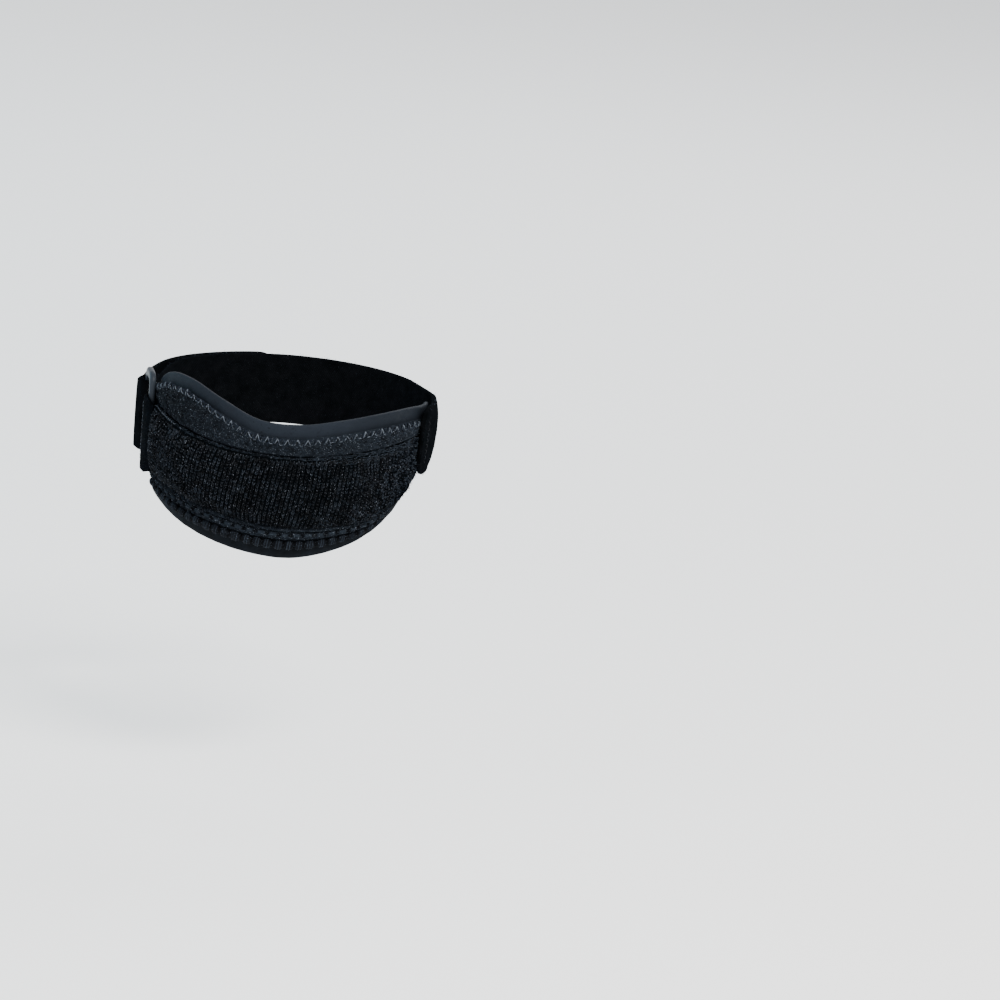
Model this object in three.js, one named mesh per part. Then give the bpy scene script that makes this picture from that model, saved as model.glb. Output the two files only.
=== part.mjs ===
// A patella strap, fastened as it is worn: a contoured pad below the kneecap, an elastic strap round
// the back of the knee, and a moulded ring on the pad's end that the strap threads and folds back from.
// Millimetres. +Z is up the leg, -Y is the front, and the origin is the centre of the leg opening at
// the height of the strap.
import * as THREE from "three";

// The leg's section at the strap, which every layer lies on, and how it narrows and leans downwards.
const legHalfWidth = 58.5;
const legFrontDepth = 58;
const legBackDepth = 54;
const legNarrowing = 0.025;
const legLean = 0.025;

// The pad, measured along the leg from the front centre.
const padStart = -85;
const padLength = 180;
const padHeight = 59;
const linerThickness = 2.4;
const linerStartRadius = 9;
const linerEndRadius = 6;

// What is sewn on the liner.
const layerGap = 0.3;
const faceThickness = 1.5;
const cushionRise = 6.6;
const cushionEdge = 0.9;
const upperBorder = 5.8;
const lowerHem = 15.1;
const lowerBorder = 4.6;
const pipingWidth = 4.2;
const pipingThickness = 2.7;
const pipingPitch = 4.6;
const pipingWaist = 0.16; // share of the roll's radius that each stitch pulls in
const seamGap = 0.6;
const bandInset = 8; // from the liner's left end to the seam bands
const cushionInset = 14.5; // from the liner's left end to the cushion
const endInset = 5; // from the pad's right end to what lies on it
const lowerBandEnd = 43; // the lower band and the piping stop this far short of the pad's right end
const pipingEnd = 46;

// The ring on the pad's left end, and the tab that holds it.
const ringArc = -82.5;
const ringBar = 3.4;
const ringCrossBar = 4.4;
const ringThickness = 2.8;
const ringSlotLength = 11;
const ringCornerRadius = 3.6;
const slotPlay = 1.9;
const barPlay = 0.55;
const tabThickness = 1.4;
const tabWidth = 28.8;
const tabPadHeight = -7.7; // the tab's centre where it leaves the cushion
const tabRingHeight = -4;
const tabCurl = 1.1; // how far its outer edges turn in to meet the cushion

// The elastic strap.
const strapWidth = 32;
const strapThickness = 2.2;
const strapOverlap = 29;
const strapCornerRadius = 8;
const strapStepRun = 24;
const strapCrown = 0.9; // how far the strap's middle stands off the pad
const strapCurl = 2.8; // how far its edges turn in at the pad's end
const strapStartCurl = 0.9;
const strapClear = 0.1;
const strapRightHeight = 0.4;
const strapBackHeight = 1.8;
const strapRingHeight = -1.6;
const tailLength = 84;
const tailBulge = 5;
const tailCurl = 1.4; // how far its edges turn in where it stands off
const tailCurlStart = 0.06; // the share of its length by which they do
const tailEndRadius = 10;
const hookThickness = 1.2;
const hookLength = 32;
const hookWidth = 26;
const hookInset = 3;

const stationSpacing = 4.2;
const strapSpacing = 5;

// The pad's outline and its two long seams at even steps of its length, from the ring's end: each
// height is a share of padHeight above the strap's level.
const padSections = [
  { along: 0.0, top: 0.2, upperSeam: 0.235, lowerSeam: -0.35, bottom: -0.547 },
  { along: 0.1, top: 0.394, upperSeam: 0.118, lowerSeam: -0.417, bottom: -0.607 },
  { along: 0.2, top: 0.415, upperSeam: 0.045, lowerSeam: -0.47, bottom: -0.695 },
  { along: 0.3, top: 0.321, upperSeam: -0.006, lowerSeam: -0.52, bottom: -0.767 },
  { along: 0.4, top: 0.211, upperSeam: -0.033, lowerSeam: -0.566, bottom: -0.816 },
  { along: 0.5, top: 0.201, upperSeam: -0.04, lowerSeam: -0.585, bottom: -0.832 },
  { along: 0.6, top: 0.242, upperSeam: -0.018, lowerSeam: -0.567, bottom: -0.775 },
  { along: 0.7, top: 0.277, upperSeam: 0.013, lowerSeam: -0.526, bottom: -0.666 },
  { along: 0.8, top: 0.287, upperSeam: 0.045, lowerSeam: -0.42, bottom: -0.481 },
  { along: 0.9, top: 0.258, upperSeam: 0.068, lowerSeam: -0.195, bottom: -0.236 },
  { along: 1.0, top: 0.225, upperSeam: 0.076, lowerSeam: -0.045, bottom: -0.08 },
];

// How full the cushion is along the pad, as a share of cushionRise over the plain face.
const cushionFill = [
  { along: 0.0, fill: 0.68 },
  { along: 0.12, fill: 0.7 },
  { along: 0.25, fill: 0.86 },
  { along: 0.42, fill: 1 },
  { along: 0.58, fill: 0.96 },
  { along: 0.7, fill: 0.56 },
  { along: 0.8, fill: 0.16 },
  { along: 0.85, fill: 0.06 },
  { along: 1.0, fill: 0 },
];

// The strap's tail behind the ring, along tailLength: how much of tailBulge it stands off the strap
// under it, and how far it still is towards strapRingHeight.
const tailPath = [
  { along: 0.02, bulge: 1.0, sink: 1.0 },
  { along: 0.06, bulge: 0.9, sink: 0.8 },
  { along: 0.14, bulge: 0.56, sink: 0.45 },
  { along: 0.2, bulge: 0.43, sink: 0.33 },
  { along: 0.33, bulge: 0.24, sink: 0.08 },
  { along: 0.48, bulge: 0.05, sink: 0.0 },
  { along: 0.6, bulge: 0.0, sink: 0.0 },
  { along: 1.0, bulge: 0.0, sink: 0.0 },
];

const up = new THREE.Vector3(0, 0, 1);

// The leg's outline in plan, from the front centre towards +X and round the back.
class LegOutline extends THREE.Curve {
  constructor() {
    super();
    this.arcLengthDivisions = 720;
  }

  getPoint(t, target = new THREE.Vector3()) {
    const turn = 2 * Math.PI * t;
    const depth = Math.cos(turn) > 0 ? legFrontDepth : legBackDepth;
    return target.set(legHalfWidth * Math.sin(turn), -depth * Math.cos(turn), 0);
  }
}

const legOutline = new LegOutline();
const legGirth = legOutline.getLength();

// Where a distance along the leg is in plan, with the way along and the way out there.
function onLeg(arc, out = 0) {
  const share = THREE.MathUtils.euclideanModulo(arc / legGirth, 1);
  const along = legOutline.getTangentAt(share).setZ(0).normalize();
  const outward = along.clone().cross(up);
  const point = legOutline.getPointAt(share).addScaledVector(outward, out);
  return { point, along, outward };
}

// A smooth value between the rows of a table, read by the column "along".
function rowValue(rows, column, along) {
  const last = rows.length - 1;
  const next = Math.max(1, rows.findIndex((row) => row.along >= along));
  const i = along >= rows[last].along ? last : next;
  const [a, b] = [rows[i - 1], rows[i]];
  const [before, after] = [rows[Math.max(0, i - 2)], rows[Math.min(last, i + 1)]];
  const span = b.along - a.along;
  const t = THREE.MathUtils.clamp((along - a.along) / span, 0, 1);
  const slopeA = ((b[column] - before[column]) / (b.along - before.along)) * span;
  const slopeB = ((after[column] - a[column]) / (after.along - a.along)) * span;
  const [t2, t3] = [t * t, t * t * t];
  return (
    (2 * t3 - 3 * t2 + 1) * a[column] +
    (t3 - 2 * t2 + t) * slopeA +
    (3 * t2 - 2 * t3) * b[column] +
    (t3 - t2) * slopeB
  );
}

// How much a rounded corner takes off an edge at a distance from the end.
function cornerCut(distance, radius) {
  const inside = Math.max(0, radius - Math.max(0, distance));
  return radius - Math.sqrt(radius * radius - inside * inside);
}

// A closed solid through rings of points: each ring runs anticlockwise seen against the way along,
// from the foot of its outer side to the foot of its inner side.
function loft(rings, closed = false) {
  const size = rings[0].length;
  const positions = rings.flat().flatMap((p) => drape(p).toArray());
  const index = [];
  const spans = closed ? rings.length : rings.length - 1;
  for (let i = 0; i < spans; i++) {
    const a = i * size;
    const b = ((i + 1) % rings.length) * size;
    for (let j = 0; j < size; j++) {
      const k = (j + 1) % size;
      index.push(a + j, b + j, a + k, b + j, b + k, a + k);
    }
  }
  if (!closed) {
    const end = (rings.length - 1) * size;
    for (const [a, b, c] of capTriangles(size)) {
      index.push(a, b, c, end + a, end + c, end + b);
    }
  }
  const geometry = new THREE.BufferGeometry();
  geometry.setAttribute("position", new THREE.Float32BufferAttribute(positions, 3));
  geometry.setIndex(index);
  geometry.computeVertexNormals();
  return geometry;
}

// An end cap as a ladder from the section's foot to its top, so that a curled section stays flat.
function capTriangles(size) {
  const triangles = [];
  for (let low = 0, high = size - 1; high - low > 1; low++, high--) {
    triangles.push([low, low + 1, high]);
    if (high - low > 2) {
      triangles.push([low + 1, high - 1, high]);
    }
  }
  return triangles;
}

// The leg narrows and leans downwards, and what is laid out on an upright wall goes with it.
function drape(point) {
  const scale = 1 + (legNarrowing / legHalfWidth) * point.z;
  return new THREE.Vector3(point.x * scale + legLean * point.z, point.y * scale, point.z);
}

// A flat strip's section with softened edges, as [out, up] corners, with any rows between its
// edges as shares of its half height.
function stripProfile(inner, outer, bottom, top, rows = []) {
  const soft = Math.min(0.4 * (outer - inner), 0.3 * (top - bottom));
  const lip = 0.35 * soft;
  const [middle, half] = [(top + bottom) / 2, (top - bottom) / 2];
  const rowHeights = rows.map((row) => middle + row * half);
  return [
    [outer - soft, bottom],
    [outer, bottom + soft],
    ...rowHeights.map((height) => [outer, height]),
    [outer, top - soft],
    [outer - soft, top],
    [inner + soft, top],
    [inner, top - lip],
    ...rowHeights.toReversed().map((height) => [inner, height]),
    [inner, bottom + lip],
    [inner + soft, bottom],
  ];
}

// The cushion's section: a flat back, and a face that swells between its two edges.
function cushionProfile(inner, edge, rise, bottom, top) {
  const faceSteps = 10;
  const face = [];
  for (let i = 0; i <= faceSteps; i++) {
    const turn = (Math.PI * i) / faceSteps;
    const swell = Math.pow(Math.sin(turn), 0.8);
    const across = (1 - Math.cos(turn)) / 2;
    face.push([inner + edge + rise * swell, THREE.MathUtils.lerp(bottom, top, across)]);
  }
  return [...face, [inner, top], [inner, bottom]];
}

// The piping's section: a low round roll.
function rollProfile(inner, thickness, bottom, top) {
  const steps = 8;
  const [halfUp, halfOut] = [(top - bottom) / 2, thickness / 2];
  return Array.from({ length: steps }, (_, i) => {
    const turn = (2 * Math.PI * (i + 0.5)) / steps - Math.PI / 2;
    return [inner + halfOut * (1 + Math.cos(turn)), bottom + halfUp * (1 + Math.sin(turn))];
  });
}

// Even stops from one distance to another, no further apart than the spacing.
function stops(from, to, spacing = stationSpacing) {
  const count = Math.max(1, Math.ceil((to - from) / spacing));
  return Array.from({ length: count + 1 }, (_, i) => from + ((to - from) * i) / count);
}

// The stops of a length with rounded ends, closer together where its outline turns.
function roundedStops(from, to, startRadius, endRadius, spacing = stationSpacing) {
  const turnShares = [0, 0.04, 0.13, 0.29, 0.5, 0.74];
  return [
    ...(startRadius > 0 ? turnShares.map((share) => from + share * startRadius) : []),
    ...stops(from + startRadius, to - endRadius, spacing),
    ...(endRadius > 0 ? turnShares.map((share) => to - share * endRadius).reverse() : []),
  ];
}

// A section's corners set out from a place on the leg or on a route.
function placeRing(frame, height, profile) {
  return profile.map(([out, rise]) =>
    frame.point.clone().addScaledVector(frame.outward, out).addScaledVector(up, height + rise),
  );
}

// A layer that lies on the leg: the section at each stop is given by a function of that distance.
function layOnLeg(arcs, sectionAt) {
  return loft(arcs.map((arc) => placeRing(onLeg(arc), 0, sectionAt(arc))));
}

const padEnd = padStart + padLength;

// The pad's lines at a distance along it, in millimetres above the strap's level.
function padLines(arc) {
  const along = (arc - padStart) / padLength;
  const height = (column) => padHeight * rowValue(padSections, column, along);
  const lines = {
    top: height("top"),
    upperSeam: height("upperSeam"),
    lowerSeam: height("lowerSeam"),
    bottom: height("bottom"),
  };
  const hemScale = (lines.lowerSeam - lines.bottom) / lowerHem;
  lines.hemScale = hemScale;
  lines.hemLine = lines.bottom + hemScale * (lowerBorder + pipingWidth);
  lines.borderLine = lines.bottom + hemScale * lowerBorder;
  return lines;
}

function linerGeometry() {
  return layOnLeg(roundedStops(padStart, padEnd, linerStartRadius, linerEndRadius), (arc) => {
    const lines = padLines(arc);
    const cut = cornerCut(arc - padStart, linerStartRadius) + cornerCut(padEnd - arc, linerEndRadius);
    return stripProfile(0, linerThickness, lines.bottom + cut / 2, lines.top - cut);
  });
}

const faceInner = linerThickness + layerGap;

// The band above the cushion: the liner's border outside it is narrower towards the ring.
function upperSeamBandGeometry() {
  const start = padStart + bandInset;
  const narrowest = 0.5;
  const widening = (1 - narrowest) / (cushionInset - bandInset);
  return layOnLeg(stops(start, padEnd - endInset), (arc) => {
    const lines = padLines(arc);
    const border = upperBorder * Math.min(1, narrowest + widening * (arc - start));
    const bottom = lines.upperSeam + seamGap / 2;
    return stripProfile(faceInner, faceInner + faceThickness, bottom, lines.top - border);
  });
}

function lowerSeamBandGeometry() {
  return layOnLeg(stops(padStart + bandInset, padEnd - lowerBandEnd), (arc) => {
    const lines = padLines(arc);
    const top = lines.lowerSeam - seamGap / 2;
    return stripProfile(faceInner, faceInner + faceThickness, lines.hemLine + seamGap / 2, top);
  });
}

// The roll is drawn in once in each pitch by the stitches over it, and thins out with the hem.
function edgePipingGeometry() {
  const start = padStart + bandInset;
  const length = padEnd - pipingEnd - start;
  const pitch = length / Math.round(length / pipingPitch);
  const stepsPerStitch = 4;
  return layOnLeg(stops(start, start + length, pitch / stepsPerStitch), (arc) => {
    const lines = padLines(arc);
    const pull = pipingWaist * Math.abs(Math.cos((Math.PI * (arc - start)) / pitch));
    const narrow = (pull * (lines.hemLine - lines.borderLine)) / 2;
    const fullness = Math.min(1, lines.hemScale) ** 2;
    return rollProfile(
      faceInner,
      pipingThickness * fullness * (1 - pull),
      lines.borderLine + narrow,
      lines.hemLine - seamGap / 2 - narrow,
    );
  });
}

const cushionStart = padStart + cushionInset;

// How far the cushion's middle stands above the liner's face at a distance along the pad.
function cushionCrown(arc) {
  const fill = Math.max(0, rowValue(cushionFill, "fill", (arc - padStart) / padLength));
  return faceThickness + (cushionRise - faceThickness) * fill;
}

function cushionGeometry() {
  return layOnLeg(stops(cushionStart, padEnd - endInset), (arc) => {
    const lines = padLines(arc);
    return cushionProfile(
      faceInner,
      cushionEdge,
      cushionCrown(arc) - cushionEdge,
      lines.lowerSeam + seamGap / 2,
      lines.upperSeam - seamGap / 2,
    );
  });
}

// The ring lies flat, square to the leg at its own centre, at the height that leaves the tab's
// inner layer room under its front bar.
const ringBarOffset = (ringSlotLength + ringBar) / 2;
const ringSag = legFrontDepth - Math.sqrt(legFrontDepth ** 2 - ringBarOffset ** 2);
const ringLift = faceInner + tabThickness + barPlay + ringThickness / 2 - ringSag;
const ringFrame = onLeg(ringArc, ringLift);

// A place in the ring's plane: how far forward of its centre, and how far out of its mid plane.
function byRing(forward, out) {
  return ringFrame.point
    .clone()
    .addScaledVector(ringFrame.along, forward)
    .addScaledVector(ringFrame.outward, out);
}

const slotTop = Math.max(strapRingHeight + strapWidth / 2, tabRingHeight + tabWidth / 2) + slotPlay;
const slotBottom = Math.min(strapRingHeight - strapWidth / 2, tabRingHeight - tabWidth / 2) - slotPlay;

function ringGeometry() {
  const middle = (slotTop + slotBottom) / 2;
  const halfAlong = ringBarOffset;
  const halfUp = (slotTop - slotBottom + ringCrossBar) / 2;
  const cornerSteps = 5;
  const corners = [
    { forwardSide: 1, upSide: 1 },
    { forwardSide: -1, upSide: 1 },
    { forwardSide: -1, upSide: -1 },
    { forwardSide: 1, upSide: -1 },
  ];
  const rings = corners.flatMap(({ forwardSide, upSide }, quarter) =>
    Array.from({ length: cornerSteps + 1 }, (_, i) => {
      const angle = ((quarter + i / cornerSteps) * Math.PI) / 2;
      const [forwardWay, upWay] = [Math.cos(angle), Math.sin(angle)];
      const forward = forwardSide * (halfAlong - ringCornerRadius) + forwardWay * ringCornerRadius;
      const rise = upSide * (halfUp - ringCornerRadius) + upWay * ringCornerRadius;
      const half = THREE.MathUtils.lerp(ringBar, ringCrossBar, Math.abs(upWay)) / 2;
      return stripProfile(-half, half, -ringThickness / 2, ringThickness / 2).map(([across, out]) =>
        byRing(forward + forwardWay * across, out).addScaledVector(up, middle + rise + upWay * across),
      );
    }),
  );
  return loft(rings, true);
}

// Plan points of a turn round one of the ring's bars, from its inner side towards its outer side.
function turnRoundBar(barForward, facing, thickness, lastAngle, steps) {
  const forwardRadius = ringBar / 2 + barPlay + thickness / 2;
  const outRadius = ringThickness / 2 + barPlay + thickness / 2;
  return Array.from({ length: steps + 1 }, (_, i) => {
    const angle = THREE.MathUtils.lerp(-Math.PI / 2, lastAngle, i / steps);
    return byRing(
      barForward + facing * forwardRadius * Math.cos(angle),
      outRadius * Math.sin(angle),
    );
  });
}

// A strip that follows a route in plan: each stop has a point, a height, a corner cut, and a curl
// that turns its edges to the left of the way along.
function stripAlong(route, thickness, width, rows) {
  const curve = new THREE.CatmullRomCurve3(
    route.map(({ point }) => point),
    false,
    "centripetal",
  );
  const rings = route.map(({ point, height, curl = 0, cut = 0 }, i) => {
    const along = curve.getTangent(i / (route.length - 1)).setZ(0).normalize();
    const half = width / 2 - cut;
    const profile = stripProfile(-thickness / 2, thickness / 2, -half, half, rows).map(
      ([out, rise]) => [out - curl * Math.abs(rise / (width / 2)) ** 3, rise],
    );
    return placeRing({ point, outward: along.cross(up) }, height, profile);
  });
  return loft(rings);
}

// The tab: from the cushion's end along the liner, round the ring's front bar, and back.
function ringTabGeometry() {
  const inner = faceInner + tabThickness / 2;
  const outer = faceInner + cushionCrown(cushionStart) - tabThickness / 2;
  const turnSteps = 10;
  const turn = turnRoundBar(ringBarOffset, -1, tabThickness, Math.PI / 2, turnSteps);
  const barOut = ringLift + ringThickness / 2 + barPlay + tabThickness / 2;
  const end = cushionStart - layerGap;
  const run = end - (ringArc + ringBarOffset);
  const row = (share, out) => ({
    point: onLeg(end - share * run, out).point,
    height: THREE.MathUtils.lerp(tabPadHeight, tabRingHeight, share),
  });
  const innerShares = [0, 0.35];
  const outerShares = [0.7, 0.35, 0];
  return stripAlong(
    [
      ...innerShares.map((share) => row(share, inner)),
      ...turn.map((point) => ({ point, height: tabRingHeight })),
      ...outerShares.map((share) => ({
        ...row(share, THREE.MathUtils.lerp(outer, barOut, Math.sin((share * Math.PI) / 2))),
        curl: tabCurl * (1 - share),
      })),
    ],
    tabThickness,
    tabWidth,
    [-0.6, 0.6],
  );
}

const strapOverPad = faceInner + faceThickness + layerGap + strapCrown + strapThickness / 2;
const strapOnLeg = strapClear + strapThickness / 2;
const tailOnStrap = strapOnLeg + strapThickness + hookThickness + 2 * layerGap;
const strapStart = padEnd - strapOverlap;
const rearBarArc = legGirth + ringArc - ringBarOffset;
const tailEnd = rearBarArc - tailLength;

// The strap's rows over the pad's right end.
function overPadRows() {
  return roundedStops(strapStart, padEnd, strapCornerRadius, 0, strapSpacing).map((arc) => ({
    point: onLeg(arc, strapOverPad).point,
    height: strapRightHeight,
    curl: THREE.MathUtils.lerp(
      strapStartCurl,
      strapCurl,
      THREE.MathUtils.smoothstep(arc, strapStart + strapCornerRadius, padEnd - endInset),
    ),
    cut: cornerCut(arc - strapStart, strapCornerRadius),
  }));
}

// Pulled taut from the pad's end, the strap comes down to the leg and goes round the back.
function behindRows() {
  const nearRing = 12;
  return stops(padEnd, rearBarArc - nearRing, strapSpacing).slice(1).map((arc) => {
    const left = Math.max(0, 1 - (arc - padEnd) / strapStepRun);
    const share = (arc - padEnd) / (rearBarArc - padEnd);
    const lift = THREE.MathUtils.lerp(strapRightHeight, strapBackHeight, Math.min(1, 2 * share));
    const sink = THREE.MathUtils.smoothstep(share, 0.8, 1);
    return {
      point: onLeg(arc, THREE.MathUtils.lerp(strapOnLeg, strapOverPad, left * left)).point,
      height: THREE.MathUtils.lerp(lift, strapRingHeight, sink),
      curl: strapCurl * left,
    };
  });
}

// Through the ring from the inside, round its rear bar, and back over itself to the tail's end.
function tailRows() {
  const turnSteps = 7;
  const lastAngle = Math.PI / 3;
  const turn = turnRoundBar(-ringBarOffset, 1, strapThickness, lastAngle, turnSteps);
  const firstStop = tailPath[0].along * tailLength;
  const distances = roundedStops(firstStop, tailLength, 0, tailEndRadius, strapSpacing);
  return [
    ...turn.map((point) => ({ point, height: strapRingHeight })),
    ...distances.map((distance) => {
      const along = distance / tailLength;
      const bulge = rowValue(tailPath, "bulge", along);
      return {
        point: onLeg(rearBarArc - distance, tailOnStrap + tailBulge * bulge).point,
        height: THREE.MathUtils.lerp(
          strapBackHeight,
          strapRingHeight,
          rowValue(tailPath, "sink", along),
        ),
        curl: -tailCurl * Math.max(0, bulge) * Math.min(1, along / tailCurlStart) ** 2,
        cut: cornerCut(tailLength - distance, tailEndRadius),
      };
    }),
  ];
}

function strapGeometry() {
  const rows = [-0.72, -0.3, 0.3, 0.72];
  return stripAlong(
    [...overPadRows(), ...behindRows(), ...tailRows()],
    strapThickness,
    strapWidth,
    rows,
  );
}

// The hook patch inside the tail's end, which grips the strap's brushed face.
function hookPatchGeometry() {
  const inner = strapOnLeg + strapThickness / 2 + layerGap;
  const first = tailEnd + hookInset;
  return layOnLeg(stops(first, first + hookLength), () =>
    stripProfile(
      inner,
      inner + hookThickness,
      strapBackHeight - hookWidth / 2,
      strapBackHeight + hookWidth / 2,
    ),
  );
}

const fabric = (color, roughness) =>
  new THREE.MeshStandardMaterial({ color, roughness, metalness: 0 });
const linerMaterial = fabric(0x22272d, 0.72);
const knitMaterial = fabric(0x0e1013, 0.95);
const seamMaterial = fabric(0x17191d, 0.92);
const strapMaterial = fabric(0x0b0a0d, 0.88);
const hookMaterial = fabric(0x101114, 0.8);
const ringMaterial = new THREE.MeshStandardMaterial({
  color: 0x2c2f32,
  roughness: 0.38,
  metalness: 0,
});

const strap = new THREE.Group();

function add(name, geometry, material) {
  const mesh = new THREE.Mesh(geometry, material);
  mesh.name = name;
  strap.add(mesh);
}

add("liner", linerGeometry(), linerMaterial);
add("upper_seam_band", upperSeamBandGeometry(), seamMaterial);
add("lower_seam_band", lowerSeamBandGeometry(), seamMaterial);
add("edge_piping", edgePipingGeometry(), seamMaterial);
add("cushion", cushionGeometry(), knitMaterial);
add("ring", ringGeometry(), ringMaterial);
add("ring_tab", ringTabGeometry(), knitMaterial);
add("strap", strapGeometry(), strapMaterial);
add("hook_patch", hookPatchGeometry(), hookMaterial);

export default strap;
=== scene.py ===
"""Looks for a patella strap, fastened as it is worn: cut-and-sewn pad, moulded ring, elastic strap."""

import logging
import math
from dataclasses import dataclass, field
from enum import Enum
from typing import Any, Callable

import bpy
import numpy as np
from mathutils import Matrix, Vector


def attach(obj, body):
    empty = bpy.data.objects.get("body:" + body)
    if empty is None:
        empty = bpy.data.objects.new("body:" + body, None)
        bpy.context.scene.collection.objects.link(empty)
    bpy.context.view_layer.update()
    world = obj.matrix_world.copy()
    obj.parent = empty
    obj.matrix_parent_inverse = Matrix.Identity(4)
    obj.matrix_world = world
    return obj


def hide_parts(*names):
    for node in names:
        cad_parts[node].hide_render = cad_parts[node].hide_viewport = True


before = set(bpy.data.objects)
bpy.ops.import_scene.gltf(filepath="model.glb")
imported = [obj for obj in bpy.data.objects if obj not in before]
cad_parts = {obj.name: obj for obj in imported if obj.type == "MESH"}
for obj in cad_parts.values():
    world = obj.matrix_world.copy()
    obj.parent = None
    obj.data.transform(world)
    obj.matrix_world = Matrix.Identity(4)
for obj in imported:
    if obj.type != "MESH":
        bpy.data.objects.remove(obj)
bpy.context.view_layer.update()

LOG = logging.getLogger("patella_strap")
MM = 0.001
Array, Object, Tree, Socket = np.ndarray, bpy.types.Object, bpy.types.NodeTree, bpy.types.NodeSocket
Placing = Callable[[Array, Array], Array]


class Slot(Enum):
    """The record's material slots."""

    LINER = "liner_fabric"
    SEAM = "seam_knit"
    CUSHION = "cushion_knit"
    RING = "ring_plastic"
    STRAP = "strap_elastic"
    HOOK = "hook_tape"


class PadLine(Enum):
    """The pad's four long lines, by their column in its table."""

    TOP = 1
    UPPER_SEAM = 2
    LOWER_SEAM = 3
    BOTTOM = 4


class ThreadPath(Enum):
    """How a sewn thread goes along its seam."""

    ZIGZAG = "zigzag"
    WHIP = "whip"
    RUNNING = "running"


# --- numbers and fields


def smooth_between(rows: Array, column: int, at: Array) -> Array:
    """Reads a smooth value between the rows of a table.

    Args:
        rows: The table, with the way along it in its first column.
        column: The column that is read.
        at: Where along it is read.

    Returns:
        The value at each place.
    """
    knots, values = rows[:, 0], rows[:, column]
    slopes = np.empty_like(values)
    slopes[1:-1] = (values[2:] - values[:-2]) / (knots[2:] - knots[:-2])
    slopes[0] = (values[1] - values[0]) / (knots[1] - knots[0])
    slopes[-1] = (values[-1] - values[-2]) / (knots[-1] - knots[-2])
    at = np.asarray(at, float)
    i = np.clip(np.searchsorted(knots, at) - 1, 0, len(knots) - 2)
    span = knots[i + 1] - knots[i]
    t = np.clip((at - knots[i]) / span, 0, 1)
    return (
        (2 * t**3 - 3 * t**2 + 1) * values[i]
        + (t**3 - 2 * t**2 + t) * slopes[i] * span
        + (3 * t**2 - 2 * t**3) * values[i + 1]
        + (t**3 - t**2) * slopes[i + 1] * span
    )


def smoothstep(value: Array, low: float, high: float) -> Array:
    """Returns 0 below low and 1 above high, with a smooth rise between."""
    t = np.clip((np.asarray(value, float) - low) / (high - low), 0, 1)
    return t * t * (3 - 2 * t)


def ridge(at: Array, middle: float, half_width: float) -> Array:
    """Returns a rounded ridge: 1 at its middle and 0 a half width away."""
    return np.cos(np.pi / 2 * np.clip((at - middle) / half_width, -1, 1)) ** 2


def wander(x: Array, y: Array, size: float, seed: int) -> Array:
    """Makes a smooth field that wanders between about -1 and 1.

    Args:
        x: First coordinate.
        y: Second coordinate.
        size: The distance over which it wanders, in the coordinates' unit.
        seed: Fixed seed.

    Returns:
        The field at each place.
    """
    rng = np.random.default_rng(seed)
    total = np.zeros(np.broadcast(x, y).shape)
    for angle, phase, stretch in zip(*rng.uniform((0, 0, 0.7), (6.28, 6.28, 1.5), (9, 3)).T):
        turn = 2 * np.pi / (size * stretch)
        total += np.cos(turn * (x * np.cos(angle) + y * np.sin(angle)) + phase)
    return total / 3.2


# --- where things lie


@dataclass(frozen=True)
class Leg:
    """The leg's section at the strap, in millimetres, which every layer lies on."""

    half_width: float = 58.5
    front_depth: float = 58.0
    back_depth: float = 54.0
    narrowing: float = 0.025
    lean: float = 0.025
    steps: int = 7200

    def depth(self, turn: Array) -> Array:
        """Returns the half depth at a turn from the front centre."""
        return np.where(np.cos(turn) > 0, self.front_depth, self.back_depth)

    def reach(self) -> tuple[Array, Array]:
        """Returns turns round the leg, and how far along its outline each one is.

        Returns:
            The turns and the distances.
        """
        turn = np.linspace(0, 2 * np.pi, self.steps + 1)
        x, y = self.half_width * np.sin(turn), -self.depth(turn) * np.cos(turn)
        return turn, np.append(0, np.cumsum(np.hypot(np.diff(x), np.diff(y))))

    def girth(self) -> float:
        """Returns the length of the outline."""
        return float(self.reach()[1][-1])

    def plan(self, arc: Array, out: Array) -> tuple[Array, Array, Array]:
        """Finds places in plan.

        Args:
            arc: Distance along the leg from the front centre, in millimetres.
            out: Distance out from the leg.

        Returns:
            The points, the ways along and the ways out.
        """
        arc, out = np.broadcast_arrays(np.asarray(arc, float), np.asarray(out, float))
        turns, reach = self.reach()
        turn = np.interp(arc % reach[-1], reach, turns)
        depth = self.depth(turn)
        along = np.stack([self.half_width * np.cos(turn), depth * np.sin(turn)], -1)
        along /= np.linalg.norm(along, axis=-1, keepdims=True)
        outward = np.stack([along[..., 1], -along[..., 0]], -1)
        point = np.stack([self.half_width * np.sin(turn), -depth * np.cos(turn)], -1)
        return point + outward * out[..., None], along, outward

    def drape(self, plan: Array, height: Array) -> Array:
        """Makes points in metres from places in plan, narrowed and leaned as the leg is.

        Args:
            plan: Places in plan, in millimetres.
            height: The height of each.

        Returns:
            The points.
        """
        scale = 1 + self.narrowing / self.half_width * height
        x = plan[..., 0] * scale + self.lean * height
        return np.stack([x, plan[..., 1] * scale, height], -1) * MM

    def place(self, arc: Array, out: Array, height: Array) -> Array:
        """Makes points in metres from distances along, out and up in millimetres."""
        arc, out, height = np.broadcast_arrays(arc, out, height)
        return self.drape(self.plan(arc, out)[0], height)


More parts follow.
